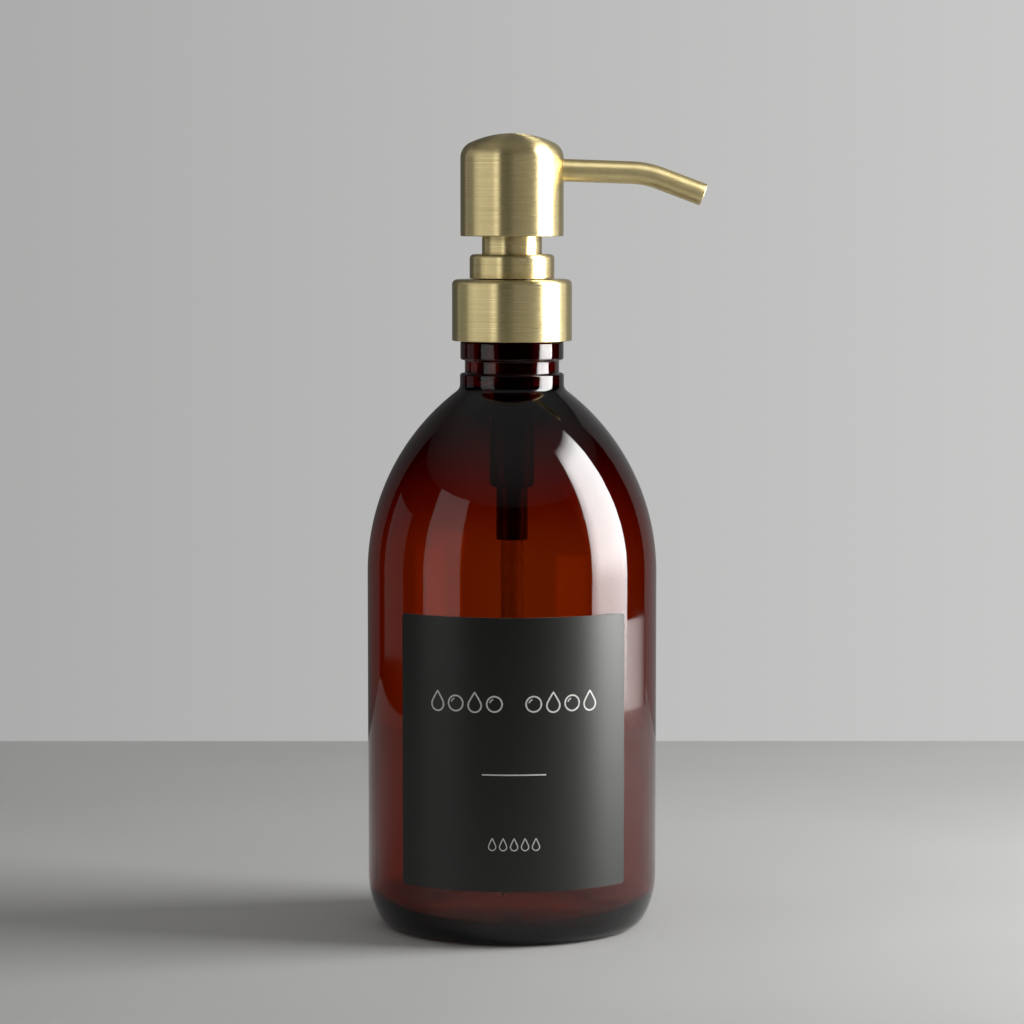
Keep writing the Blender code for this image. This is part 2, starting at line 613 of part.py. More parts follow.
# ---- pump barrel and what it holds ----
def make_pump_housing():
    profile = [
        (SPIGOT_BORE_RADIUS, FLANGE_TOP_Z + LIP_HEIGHT),
        (LIP_RADIUS, FLANGE_TOP_Z + LIP_HEIGHT),
        (LIP_RADIUS, FLANGE_TOP_Z),
        (FLANGE_RADIUS, FLANGE_TOP_Z),
        (FLANGE_RADIUS, FLANGE_BOTTOM_Z),
        (PLUG_RADIUS, FLANGE_BOTTOM_Z),
        (PLUG_RADIUS, PLUG_BOTTOM_Z),
        (PLUG_RADIUS - PLUG_WALL, PLUG_BOTTOM_Z),
        (PLUG_RADIUS - PLUG_WALL, FLANGE_BOTTOM_Z),
        (UPPER_BARREL_RADIUS, FLANGE_BOTTOM_Z),
        (UPPER_BARREL_RADIUS, BORE_STEP_Z - BARREL_WALL),
        (BARREL_RADIUS, BORE_STEP_Z - BARREL_WALL - (UPPER_BARREL_RADIUS - BARREL_RADIUS)),
        (BARREL_RADIUS, BARREL_BOTTOM_Z + BARREL_CHAMFER),
        (BARREL_RADIUS - BARREL_CHAMFER, BARREL_BOTTOM_Z),
        (SOCKET_RADIUS, BARREL_BOTTOM_Z),
        (SOCKET_RADIUS, SOCKET_BOTTOM_Z),
        (SOCKET_BORE_RADIUS, SOCKET_BOTTOM_Z),
        (SOCKET_BORE_RADIUS, SOCKET_TOP_Z),
        (INLET_HOLE_RADIUS, SOCKET_TOP_Z),
        (INLET_HOLE_RADIUS, INLET_SEAT_Z),
        (INLET_SEAT_RADIUS, BARREL_FLOOR_Z),
        (PISTON_BORE_RADIUS, BARREL_FLOOR_Z),
        (PISTON_BORE_RADIUS, BORE_STEP_Z),
        (SPIGOT_BORE_RADIUS, BORE_STEP_Z),
    ]
    turned("pump_housing", profile, moulded_plastic("housing_plastic"), closed=True, steps=SMALL_STEPS)


def make_dip_tube():
    inner = DIP_TUBE_RADIUS - DIP_TUBE_WALL
    profile = [
        (inner, DIP_TUBE_TOP_Z),
        (DIP_TUBE_RADIUS, DIP_TUBE_TOP_Z),
        (DIP_TUBE_RADIUS, DIP_TUBE_BOTTOM_Z),
        (inner, DIP_TUBE_BOTTOM_Z),
    ]
    tube = turned("dip_tube", profile, natural_plastic("tube_plastic"), closed=True, steps=SMALL_STEPS)
    reach = 6 * DIP_TUBE_RADIUS
    wedge = box_cutter("dip_tube_cut", (-reach, -reach, -reach), (reach, reach, 0.0))
    slope = math.radians(DIP_TUBE_CUT_DEG)
    wedge.location = (-DIP_TUBE_RADIUS, 0.0, DIP_TUBE_BOTTOM_Z)
    wedge.rotation_euler = (0.0, -slope, 0.0)
    boolean(tube, wedge)


def make_ball_cage():
    outer = PISTON_BORE_RADIUS - GAP
    profile = [
        (CAGE_HOLE_RADIUS, CAGE_TOP_Z),
        (outer, CAGE_TOP_Z),
        (outer, CAGE_BOTTOM_Z),
        (CAGE_BORE_RADIUS, CAGE_BOTTOM_Z),
        (CAGE_BORE_RADIUS, CAGE_CEILING_Z),
        (CAGE_HOLE_RADIUS, CAGE_CEILING_Z),
    ]
    cage = turned("ball_cage", profile, natural_plastic("cage_plastic"), closed=True, steps=SMALL_STEPS)
    half = CAGE_SLOT_WIDTH / 2
    low = CAGE_BOTTOM_Z + CAGE_RING_HEIGHT
    high = CAGE_TOP_Z + CAGE_TOP
    reach = PISTON_BORE_RADIUS + BARREL_WALL
    boolean(cage, box_cutter("cage_slot_x", (-reach, -half, low), (reach, half, high)))
    boolean(cage, box_cutter("cage_slot_y", (-half, -reach, low), (half, reach, high)))


def make_piston():
    waist = PISTON_RADIUS - PISTON_WAIST
    profile = [
        (STEM_HOLE_RADIUS, PISTON_TOP_Z),
        (PISTON_RADIUS, PISTON_TOP_Z),
        (PISTON_RADIUS, PISTON_TOP_Z - PISTON_LIP),
        (waist, PISTON_TOP_Z - 2 * PISTON_LIP),
        (waist, PISTON_BOTTOM_Z + 2 * PISTON_LIP),
        (PISTON_RADIUS, PISTON_BOTTOM_Z + PISTON_LIP),
        (PISTON_RADIUS, PISTON_BOTTOM_Z),
        (PISTON_HOLE_RADIUS, PISTON_BOTTOM_Z),
        (PISTON_HOLE_RADIUS, PISTON_BOTTOM_Z + PISTON_FLOOR),
        (STEM_HOLE_RADIUS, PISTON_BOTTOM_Z + PISTON_FLOOR),
    ]
    turned("piston", profile, natural_plastic("piston_plastic"), closed=True, steps=SMALL_STEPS)


def make_return_spring():
    """A coil of round wire between the cage and the piston."""
    low = SPRING_BOTTOM_Z + SPRING_WIRE_RADIUS
    high = SPRING_TOP_Z - SPRING_WIRE_RADIUS
    count = int(SPRING_TURNS * SPRING_POINTS_PER_TURN)
    curve = bpy.data.curves.new("return_spring", "CURVE")
    curve.dimensions = "3D"
    curve.bevel_depth = SPRING_WIRE_RADIUS
    curve.bevel_resolution = 1
    curve.use_fill_caps = True
    spline = curve.splines.new("POLY")
    spline.points.add(count)
    for i, place in enumerate(spline.points):
        angle = 2 * math.pi * i / SPRING_POINTS_PER_TURN
        x = SPRING_RADIUS * math.cos(angle)
        y = SPRING_RADIUS * math.sin(angle)
        place.co = (x, y, low + (high - low) * i / count, 1.0)
    add_object("return_spring", curve, PARTS, steel("spring_steel"))


def make_stem():
    profile = [
        (OUTLET_CHAMBER_RADIUS, STEM_TOP_Z),
        (STEM_RADIUS, STEM_TOP_Z),
        (STEM_RADIUS, STEM_BOTTOM_Z),
        (STEM_BORE_RADIUS, STEM_BOTTOM_Z),
        (STEM_BORE_RADIUS, OUTLET_SEAT_Z),
        (OUTLET_CHAMBER_RADIUS, OUTLET_SEAT_Z + OUTLET_CHAMBER_RADIUS - STEM_BORE_RADIUS),
    ]
    turned("stem", profile, natural_plastic("stem_plastic"), closed=True, steps=SMALL_STEPS)


# ---- head and spout ----
def spout_direction(slope_deg):
    slope = math.radians(slope_deg)
    return Vector((math.cos(slope), 0.0, -math.sin(slope)))


def spout_path(setback):
    """Points along the spout's middle: straight out of the head, one bend, straight to the tip."""
    first = spout_direction(SPOUT_FIRST_SLOPE_DEG)
    last = spout_direction(SPOUT_LAST_SLOPE_DEG)
    leaves = Vector((HEAD_RADIUS, 0.0, SPOUT_AXIS_Z))
    tip = Vector((SPOUT_TIP_X, 0.0, SPOUT_AXIS_Z - SPOUT_TIP_DROP))
    start = leaves + first * ((SPOUT_START_X - HEAD_RADIUS) / first.x)
    between = tip - start
    along = (between.x * last.z - between.z * last.x) / (first.x * last.z - first.z * last.x)
    corner = start + first * along
    swing = math.radians(SPOUT_LAST_SLOPE_DEG - SPOUT_FIRST_SLOPE_DEG)
    tangent = SPOUT_BEND_RADIUS * math.tan(swing / 2)
    bend_start = corner - first * tangent
    centre = bend_start + Vector((first.z, 0.0, -first.x)) * SPOUT_BEND_RADIUS
    points = [start + first * setback, start + (bend_start - start) / 2]
    for i in range(SPOUT_BEND_POINTS + 1):
        turn = Matrix.Rotation(swing * i / SPOUT_BEND_POINTS, 3, "Y")
        points.append(centre + turn @ (bend_start - centre))
    points.append(tip - last * setback)
    return points


def make_spout():
    brass = brushed_brass("spout_brass")
    hollow_curve("spout_tube", spout_path(0.0), SPOUT_RADIUS, SPOUT_WALL, 12, brass)
    liner_radius = SPOUT_RADIUS - SPOUT_WALL - GAP
    plastic = natural_plastic("spout_liner_plastic")
    hollow_curve("spout_liner", spout_path(SPOUT_LINER_SETBACK), liner_radius, SPOUT_LINER_WALL, 8, plastic)


def dome(radius, crown_radius, edge_radius, crown_centre_z, crown_points, edge_points):
    """A shallow crown that runs into an upright side through a smaller arc, from the axis outwards."""
    edge_r = radius - edge_radius
    edge_rise = math.sqrt((crown_radius - edge_radius) ** 2 - edge_r**2)
    meet = math.degrees(math.atan2(edge_rise, edge_r))
    points = arc(0.0, crown_centre_z, crown_radius, 90, meet, crown_points)
    points[0] = (0.0, points[0][1])
    points += arc(edge_r, crown_centre_z + edge_rise, edge_radius, meet, 0, edge_points)[1:]
    return points


def make_head_shell():
    centre_z = HEAD_TOP_Z - HEAD_CROWN_RADIUS
    inner_radius = HEAD_RADIUS - HEAD_WALL
    inner_crown = HEAD_CROWN_RADIUS - HEAD_WALL
    inner_edge = HEAD_EDGE_RADIUS - HEAD_WALL
    profile = dome(HEAD_RADIUS, HEAD_CROWN_RADIUS, HEAD_EDGE_RADIUS, centre_z, 3, 4)
    profile += [(HEAD_RADIUS, HEAD_BOTTOM_Z + EDGE_ROUND)]
    profile += [(HEAD_RADIUS - EDGE_ROUND / 2, HEAD_BOTTOM_Z), (inner_radius, HEAD_BOTTOM_Z)]
    profile += list(reversed(dome(inner_radius, inner_crown, inner_edge, centre_z, 2, 3)))
    shell = turned("head_shell", profile, brushed_brass("head_brass"), closed=False)
    path = spout_path(0.0)
    hole_end = path[0] + (path[1] - path[0]).normalized() * (HEAD_RADIUS + SPOUT_RADIUS)
    boolean(shell, rod_cutter("spout_hole", path[0], hole_end, SPOUT_RADIUS + GAP))


def make_actuator_core():
    outer = HEAD_RADIUS - HEAD_WALL - GAP
    channel_top_z = SPOUT_AXIS_Z + CORE_CHANNEL_RADIUS
    profile = [
        (0.0, CORE_TOP_Z),
        (outer - CORE_CHAMFER, CORE_TOP_Z),
        (outer, CORE_TOP_Z - CORE_CHAMFER),
        (outer, CORE_BOTTOM_Z),
        (SKIRT_RADIUS, CORE_BOTTOM_Z),
        (SKIRT_RADIUS, SKIRT_BOTTOM_Z),
        (STEM_HOLE_RADIUS, SKIRT_BOTTOM_Z),
        (STEM_HOLE_RADIUS, CORE_LEDGE_Z),
        (CORE_CHANNEL_RADIUS, CORE_LEDGE_Z),
        (CORE_CHANNEL_RADIUS, channel_top_z),
        (0.0, channel_top_z),
    ]
    core = turned("actuator_core", profile, moulded_plastic("core_plastic"), closed=False, steps=24)
    path = spout_path(0.0)
    first = (path[1] - path[0]).normalized()
    socket_start = path[0] - first * GAP
    socket_end = path[0] + first * HEAD_RADIUS
    channel_start = path[0] - first * SPOUT_START_X
    boolean(core, rod_cutter("spout_socket", socket_start, socket_end, SPOUT_RADIUS + GAP))
    boolean(core, rod_cutter("spout_channel", channel_start, path[1], CORE_CHANNEL_RADIUS))
    half = BYPASS_SLOT_WIDTH / 2
    low = CORE_LEDGE_Z - GAP
    high = CORE_LEDGE_Z + BYPASS_SLOT_WIDTH
    reach = BYPASS_SLOT_REACH
    boolean(core, box_cutter("bypass_slot_x", (-reach, -half, low), (reach, half, high)))
    boolean(core, box_cutter("bypass_slot_y", (-half, -reach, low), (half, reach, high)))


make_bottle()
make_label()
make_collar_shell()
make_collar_liner()
make_neck_gasket()
make_ring_shell()
make_tower_sleeve()
make_stem_guide()
make_stem_seal()
make_pump_housing()
make_dip_tube()
make_ball_cage()
ball("inlet_ball", INLET_BALL_RADIUS, INLET_BALL_Z, steel("inlet_ball_steel"))
make_return_spring()
make_piston()
make_stem()
ball("outlet_ball", OUTLET_BALL_RADIUS, OUTLET_BALL_Z, steel("outlet_ball_steel"))
make_actuator_core()
make_head_shell()
make_spout()
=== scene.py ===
"""Looks for the soap pump dispenser: an amber glass bottle with a brushed brass lotion pump.

The pieces that show are turned and swept again here with fine meshes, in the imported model's frame.
The pieces hidden inside the pump keep their CAD meshes and get procedural materials.
"""

import math

import bmesh
import bpy
from mathutils import Matrix, Vector


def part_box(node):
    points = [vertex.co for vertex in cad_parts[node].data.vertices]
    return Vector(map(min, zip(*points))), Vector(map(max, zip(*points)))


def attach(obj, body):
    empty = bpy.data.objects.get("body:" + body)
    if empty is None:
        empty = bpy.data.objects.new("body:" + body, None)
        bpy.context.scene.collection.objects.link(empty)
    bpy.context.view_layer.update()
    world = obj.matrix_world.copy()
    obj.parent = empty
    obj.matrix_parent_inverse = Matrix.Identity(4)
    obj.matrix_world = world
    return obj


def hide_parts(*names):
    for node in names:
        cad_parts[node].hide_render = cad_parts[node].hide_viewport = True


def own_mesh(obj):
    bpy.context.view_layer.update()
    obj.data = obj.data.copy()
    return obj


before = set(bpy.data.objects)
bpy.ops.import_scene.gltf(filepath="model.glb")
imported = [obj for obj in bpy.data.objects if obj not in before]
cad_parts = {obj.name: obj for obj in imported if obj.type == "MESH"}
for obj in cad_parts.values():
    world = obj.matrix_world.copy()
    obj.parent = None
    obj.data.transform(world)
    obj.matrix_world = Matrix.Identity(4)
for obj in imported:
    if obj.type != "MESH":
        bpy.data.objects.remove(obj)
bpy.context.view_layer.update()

MM = 0.001
SEGMENTS = 192
SMALL_SEGMENTS = 72
TUBE_SIDES = 64
WELD = 1e-7
SMOOTH_DEG = 38.0
FILLET_STEP_DEG = 11
FILLET_SHARE = 0.49  # most of an edge that a fillet may take


# ---- profiles ----
def arc(centre_r, centre_z, radius, start_deg, end_deg, count):
    """Points on an arc in the (radius, height) plane, both ends included."""
    points = []
    for i in range(count + 1):
        angle = math.radians(start_deg + (end_deg - start_deg) * i / count)
        points.append((centre_r + radius * math.cos(angle), centre_z + radius * math.sin(angle)))
    return points


def rounded(corners, closed=True):
    """Corners (r, z, fillet radius) turned into points, with an arc at each corner that has a fillet."""
    points = []
    count = len(corners)
    for i, (r, z, fillet) in enumerate(corners):
        here = Vector((r, z))
        if fillet <= 0 or (not closed and i in (0, count - 1)):
            points.append((r, z))
            continue
        before = Vector(corners[i - 1][:2]) - here
        after = Vector(corners[(i + 1) % count][:2]) - here
        half = before.angle(after) / 2
        reach = min(fillet / math.tan(half), FILLET_SHARE * before.length, FILLET_SHARE * after.length)
        radius = reach * math.tan(half)
        start = here + before.normalized() * reach
        centre = here + (before.normalized() + after.normalized()).normalized() * (radius / math.sin(half))
        swing = math.pi - 2 * half
        side = before.normalized().cross(after.normalized())
        steps = max(3, round(math.degrees(swing) / FILLET_STEP_DEG))
        spoke = start - centre
        for step in range(steps + 1):
            angle = -math.copysign(swing * step / steps, side)
            turned_spoke = Matrix.Rotation(angle, 2) @ spoke
            points.append(tuple(centre + turned_spoke))
    return points


# ---- meshes ----
def object_from(name, verts, faces, material):
    mesh = bpy.data.meshes.new(name)
    mesh.from_pydata(verts, [], faces)
    bm = bmesh.new()
    bm.from_mesh(mesh)
    bmesh.ops.remove_doubles(bm, verts=bm.verts, dist=WELD)
    bmesh.ops.recalc_face_normals(bm, faces=bm.faces)
    bm.to_mesh(mesh)
    bm.free()
    mesh.shade_smooth()
    mesh.set_sharp_from_angle(angle=math.radians(SMOOTH_DEG))
    mesh.materials.append(material)
    obj = bpy.data.objects.new(name, mesh)
    bpy.context.scene.collection.objects.link(obj)
    return obj


def strips(rings, closed):
    """Quads, or triangles at a pole, between rings of vertex numbers."""
    faces = []
    pairs = list(zip(rings, rings[1:]))
    if closed:
        pairs.append((rings[-1], rings[0]))
    for first, second in pairs:
        count = max(len(first), len(second))
        for i in range(count):
            j = (i + 1) % count
            if len(first) == 1:
                faces.append((first[0], second[j], second[i]))
            elif len(second) == 1:
                faces.append((first[i], first[j], second[0]))
            else:
                faces.append((first[i], first[j], second[j], second[i]))
    return faces


def turned(name, profile, material, closed=True, segments=SEGMENTS, swell=None):
    """A profile of (r, z) turned around the upright axis. swell(angle, r, z) pushes a point outwards."""
    verts, rings = [], []
    for r, z in profile:
        if r < WELD:
            rings.append([len(verts)])
            verts.append((0.0, 0.0, z))
            continue
        ring = []
        for i in range(segments):
            angle = 2 * math.pi * i / segments
            out = r if swell is None else r + swell(angle, r, z)
            ring.append(len(verts))
            verts.append((out * math.cos(angle), out * math.sin(angle), z))
        rings.append(ring)
    return object_from(name, verts, strips(rings, closed), material)


def swept(name, stations, material):
    """A closed tube through stations (middle, direction, radius), all in the upright plane of the spout."""
    verts, rings = [], []
    across = Vector((0.0, 1.0, 0.0))
    for middle, direction, radius in stations:
        up = across.cross(direction).normalized()
        ring = []
        for i in range(TUBE_SIDES):
            angle = 2 * math.pi * i / TUBE_SIDES
            ring.append(len(verts))
            verts.append(middle + up * (radius * math.cos(angle)) + across * (radius * math.sin(angle)))
        rings.append(ring)
    return object_from(name, verts, strips(rings, True), material)


# ---- material nodes ----
def feed(tree, value, socket):
    if isinstance(value, bpy.types.NodeSocket):
        tree.links.new(value, socket)
    else:
        socket.default_value = value


def add(tree, kind, settings=None, **inputs):
    """A node; inputs are named after its sockets, with _ for a space, or _0, _1 for a socket's number."""
    made = tree.nodes.new(kind)
    for key, value in (settings or {}).items():
        setattr(made, key, value)
    for key, value in inputs.items():
        socket = made.inputs[int(key[1:])] if key[0] == "_" else made.inputs[key.replace("_", " ")]
        feed(tree, value, socket)
    return made


def calc(tree, operation, a, b=0.0):
    return add(tree, "ShaderNodeMath", {"operation": operation}, _0=a, _1=b).outputs[0]


def spread(tree, value, low, high, to_low, to_high):
    """value from low..high to to_low..to_high, held at both ends."""
    made = add(tree, "ShaderNodeMapRange", None, _0=value, _1=low, _2=high, _3=to_low, _4=to_high)
    return made.outputs[0]


def blend(tree, factor, first, second):
    made = add(tree, "ShaderNodeMix", {"data_type": "RGBA"}, _0=factor, _6=first, _7=second)
    return made.outputs[2]


def place(tree, scale):
    """The object's own coordinates in metres, times scale: one number, or one for each axis."""
    factors = (scale,) * 3 if isinstance(scale, float) else scale
    coordinates = tree.nodes.new("ShaderNodeTexCoord").outputs["Object"]
    return add(tree, "ShaderNodeVectorMath", {"operation": "MULTIPLY"}, _0=coordinates, _1=factors).outputs[0]


def axes(tree):
    """The object's own x, y and z in metres."""
    return add(tree, "ShaderNodeSeparateXYZ", None, _0=place(tree, 1.0)).outputs


def noise(tree, vector, detail=3.0, rough=0.5, four=None):
    settings = {"noise_dimensions": "3D" if four is None else "4D"}
    inputs = {"Vector": vector, "Scale": 1.0, "Detail": detail, "Roughness": rough}
    if four is not None:
        inputs["W"] = four
    return add(tree, "ShaderNodeTexNoise", settings, **inputs).outputs[0]


def rgba(color):
    return (*color, 1.0)


def start(name, color, roughness, **uniform):
    """A material with its shader; uniform values go on the shader's own sockets."""
    material = bpy.data.materials.new(name)
    material.use_nodes = True
    tree = material.node_tree
    shader = tree.nodes["Principled BSDF"]
    shader.inputs["Base Color"].default_value = rgba(color)
    shader.inputs["Roughness"].default_value = roughness
    for key, value in uniform.items():
        shader.inputs[key.replace("_", " ")].default_value = value
    material.diffuse_color = rgba(color)
    return material, tree, shader


def tint(tree, shader, share, first, second):
    """Mixes the base colour from first to second by share."""
    tree.links.new(blend(tree, share, rgba(first), rgba(second)), shader.inputs["Base Color"])


def gloss(tree, shader, value):
    tree.links.new(value, shader.inputs["Roughness"])


def bump(tree, shader, height, distance, strength=1.0, normal=None):
    made = add(tree, "ShaderNodeBump", None, Strength=strength, Distance=distance, Height=height)
    if normal is not None:
        tree.links.new(normal, made.inputs["Normal"])
    tree.links.new(made.outputs[0], shader.inputs["Normal"])
    return made.outputs[0]


def lathe_coordinates(tree, fine, sweep):
    """Coordinates that stay the same for a long way round the axis, for turning lines, and a fourth for W."""
    x, y, z = axes(tree)
    flat = add(tree, "ShaderNodeCombineXYZ", None, _0=x, _1=y).outputs[0]
    radius = add(tree, "ShaderNodeVectorMath", {"operation": "LENGTH"}, _0=flat).outputs["Value"]
    safe = calc(tree, "MAXIMUM", radius, 0.0002)
    cosine = calc(tree, "MULTIPLY", calc(tree, "DIVIDE", x, safe), sweep)
    sine = calc(tree, "MULTIPLY", calc(tree, "DIVIDE", y, safe), sweep)
    across = calc(tree, "MULTIPLY", radius, fine)
    up = calc(tree, "MULTIPLY", z, fine)
    return add(tree, "ShaderNodeCombineXYZ", None, _0=across, _1=up, _2=cosine).outputs[0], sine


BRASS = (0.80, 0.665, 0.345)
BRASS_DEEP = (0.54, 0.43, 0.19)
FINE_LINES = 5200.0  # how closely turning lines and grains lie, per metre
BROAD_LINES = 1400.0


def turned_brass(name, groove=0.22):
    """Satin brass with fine turning lines round the axis and a few deeper ones."""
    material, tree, shader = start(
        name, BRASS, 0.3, Metallic=1.0, Anisotropic=0.93, Anisotropic_Rotation=0.25
    )
    fine_vector, fine_four = lathe_coordinates(tree, FINE_LINES, 0.5)
    fine = noise(tree, fine_vector, detail=2.0, four=fine_four)
    broad_vector, broad_four = lathe_coordinates(tree, BROAD_LINES, 0.3)
    broad = noise(tree, broad_vector, detail=3.0, rough=0.6, four=broad_four)
    lines = calc(tree, "MULTIPLY", spread(tree, broad, 0.28, 0.42, 1.0, 0.0), groove)
    cloud = noise(tree, place(tree, 160.0), detail=2.0)
    shade = calc(tree, "ADD", lines, spread(tree, fine, 0.35, 0.75, 0.0, 0.32))
    shade = calc(tree, "ADD", shade, spread(tree, cloud, 0.35, 0.7, 0.0, 0.12))
    tint(tree, shader, shade, BRASS, BRASS_DEEP)
    gloss(tree, shader, spread(tree, fine, 0.3, 0.7, 0.25, 0.36))
    bump(tree, shader, calc(tree, "SUBTRACT", fine, lines), 0.000008, 0.4)
    tangent = add(tree, "ShaderNodeTangent", {"direction_type": "RADIAL", "axis": "Z"}).outputs[0]
    tree.links.new(tangent, shader.inputs["Tangent"])
    return material


def satin_brass(name):
    """Brass tube with a fine blasted grain."""
    material, tree, shader = start(name, BRASS, 0.34, Metallic=1.0)
    grain = noise(tree, place(tree, (2600.0, 4200.0, 4200.0)), detail=3.0, rough=0.65)
    cloud = noise(tree, place(tree, (330.0, 520.0, 520.0)), detail=3.0)
    shade = spread(tree, grain, 0.4, 0.8, 0.0, 0.3)
    shade = calc(tree, "ADD", shade, spread(tree, cloud, 0.4, 0.7, 0.0, 0.3))
    tint(tree, shader, shade, BRASS, BRASS_DEEP)
    gloss(tree, shader, spread(tree, grain, 0.3, 0.75, 0.28, 0.42))
    bump(tree, shader, grain, 0.00002, 0.6)
    return material


def amber_glass():
    """Moulded amber glass: coloured by its thickness, with slight waves, a mould seam and faint smears."""
    material, tree, shader = start(
        "amber_glass", (0.95, 0.78, 0.62), 0.0, Transmission_Weight=1.0, IOR=1.52
    )
    wave = noise(tree, place(tree, (30.0, 30.0, 22.0)), detail=1.0)
    skin = noise(tree, place(tree, 330.0), detail=2.0)
    seam = spread(tree, calc(tree, "ABSOLUTE", axes(tree)[1]), 0.0, 0.00022, 1.0, 0.0)
    first = bump(tree, shader, wave, 0.00008)
    second = bump(tree, shader, skin, 0.000002, normal=first)
    bump(tree, shader, seam, 0.00003, normal=second)
    smear = noise(tree, place(tree, (90.0, 90.0, 45.0)), detail=4.0, rough=0.6)
    gloss(tree, shader, spread(tree, smear, 0.4, 0.75, 0.02, 0.08))
    absorb = add(tree, "ShaderNodeVolumeAbsorption", None, Color=rgba((0.80, 0.485, 0.0)), Density=1420.0)
    tree.links.new(absorb.outputs[0], tree.nodes["Material Output"].inputs["Volume"])
    return material


def coated_paper():
    """Near-black satin label stock with fine fibres and a little tooth."""
    material, tree, shader = start("label_stock", (0.0034, 0.0040, 0.0022), 0.38, Specular_IOR_Level=0.62)
    fibre = noise(tree, place(tree, (1500.0, 1500.0, 5200.0)), detail=4.0, rough=0.65)
    cloud = noise(tree, place(tree, 60.0), detail=2.0)
    shade = spread(tree, fibre, 0.3, 0.7, 0.0, 0.65)
    shade = calc(tree, "ADD", shade, spread(tree, cloud, 0.3, 0.7, 0.0, 0.3))
    tint(tree, shader, shade, (0.0020, 0.0025, 0.0012), (0.0054, 0.0062, 0.0036))
    gloss(tree, shader, spread(tree, fibre, 0.3, 0.7, 0.34, 0.42))
    bump(tree, shader, fibre, 0.000006, 0.8)
    return material


def cut_paper():
    """The pale core that shows where the label was cut."""
    material, tree, shader = start("label_cut_edge", (0.30, 0.30, 0.28), 0.7)
    fibre = noise(tree, place(tree, 2600.0), detail=3.0, rough=0.6)
    tint(tree, shader, spread(tree, fibre, 0.35, 0.7, 0.0, 1.0), (0.34, 0.34, 0.32), (0.20, 0.20, 0.19))
    bump(tree, shader, fibre, 0.00001, 0.8)
    return material


def printed_ink():
    material, tree, shader = start("label_ink", (0.62, 0.62, 0.58), 0.5)
    speck = noise(tree, place(tree, 4200.0), detail=2.0)
    tint(tree, shader, spread(tree, speck, 0.45, 0.75, 0.0, 1.0), (0.66, 0.66, 0.62), (0.48, 0.48, 0.45))
    bump(tree, shader, speck, 0.000004, 0.6)
    return material


def moulded_plastic(name, color, roughness, grain_scale=1500.0, **uniform):
    """Plastic with a faint spark-eroded grain and slow changes of gloss."""
    material, tree, shader = start(name, color, roughness, **uniform)
    grain = noise(tree, place(tree, grain_scale), detail=3.0, rough=0.6)
    cloud = noise(tree, place(tree, (140.0, 140.0, 60.0)), detail=2.0)
    pale = tuple(min(1.0, c * 1.25 + 0.004) for c in color)
    tint(tree, shader, spread(tree, grain, 0.35, 0.7, 0.0, 1.0), color, pale)
    gloss(tree, shader, spread(tree, cloud, 0.3, 0.7, max(0.05, roughness - 0.07), roughness + 0.08))
    bump(tree, shader, grain, 0.00001, 0.5)
    return material


def drawn_steel(name):
    material, tree, shader = start(name, (0.62, 0.61, 0.59), 0.22, Metallic=1.0)
    scratch = noise(tree, place(tree, (900.0, 900.0, 5200.0)), detail=3.0, rough=0.6)
    tint(tree, shader, spread(tree, scratch, 0.4, 0.75, 0.0, 1.0), (0.64, 0.63, 0.61), (0.42, 0.41, 0.40))
    gloss(tree, shader, spread(tree, scratch, 0.3, 0.7, 0.14, 0.32))
    bump(tree, shader, scratch, 0.000004, 0.5)
    return material


def rides(obj, body, slot, *nodes):
    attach(obj, body)
    if nodes:
        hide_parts(*nodes)
    return obj


# ---- sizes that several pieces share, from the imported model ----
bottle_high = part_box("bottle")[1]
collar_low, collar_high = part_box("collar_shell")
ring_low, ring_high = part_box("ring_shell")
tower_low, tower_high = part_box("tower_sleeve")
head_low, head_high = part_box("head_shell")
label_low, label_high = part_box("front_label")
barrel_low, barrel_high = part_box("pump_housing")
tube_low, tube_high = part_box("dip_tube")

BODY_R = bottle_high.x
RIM_Z = bottle_high.z
GLASS_WALL = 2.3 * MM
GLASS_BASE = 4.0 * MM
INNER_R = BODY_R - GLASS_WALL
BORE_R = 9.5 * MM
FINISH_R = 12.5 * MM
BEAD_R = 13.8 * MM
GROOVE_R = 12.6 * MM
LOWER_RING_R = 13.9 * MM
BEAD_TOP_Z = RIM_Z - 11.6 * MM
BEAD_BOTTOM_Z = BEAD_TOP_Z - 5.0 * MM
GROOVE_BOTTOM_Z = BEAD_BOTTOM_Z - 3.6 * MM
NECK_ROOT_Z = GROOVE_BOTTOM_Z - 4.1 * MM
SHOULDER_R = 61.0 * MM
HEEL_Z = 14.0 * MM
HEEL_UPPER_R = 24.0 * MM
HEEL_LOWER_R = 5.5 * MM
INNER_HEEL_R = 8.0 * MM
FLOOR_RISE = 1.3 * MM
PUSH_UP = 1.2 * MM
INNER_NECK_DROP = 6.0 * MM  # the inner shoulder ends this far below the neck's root
RIM_ROUND = 0.8 * MM
ROOT_BLEND = 1.2 * MM
THREAD_PITCH = 25.4 / 6 * MM
THREAD_TURNS = 1.5
THREAD_DEPTH = 1.2 * MM
THREAD_HALF_FOOT = 1.15 * MM
THREAD_FLANK = 0.75 * MM
THREAD_TAPER_TURNS = 0.12
THREAD_TOP_BELOW_RIM = 1.8 * MM


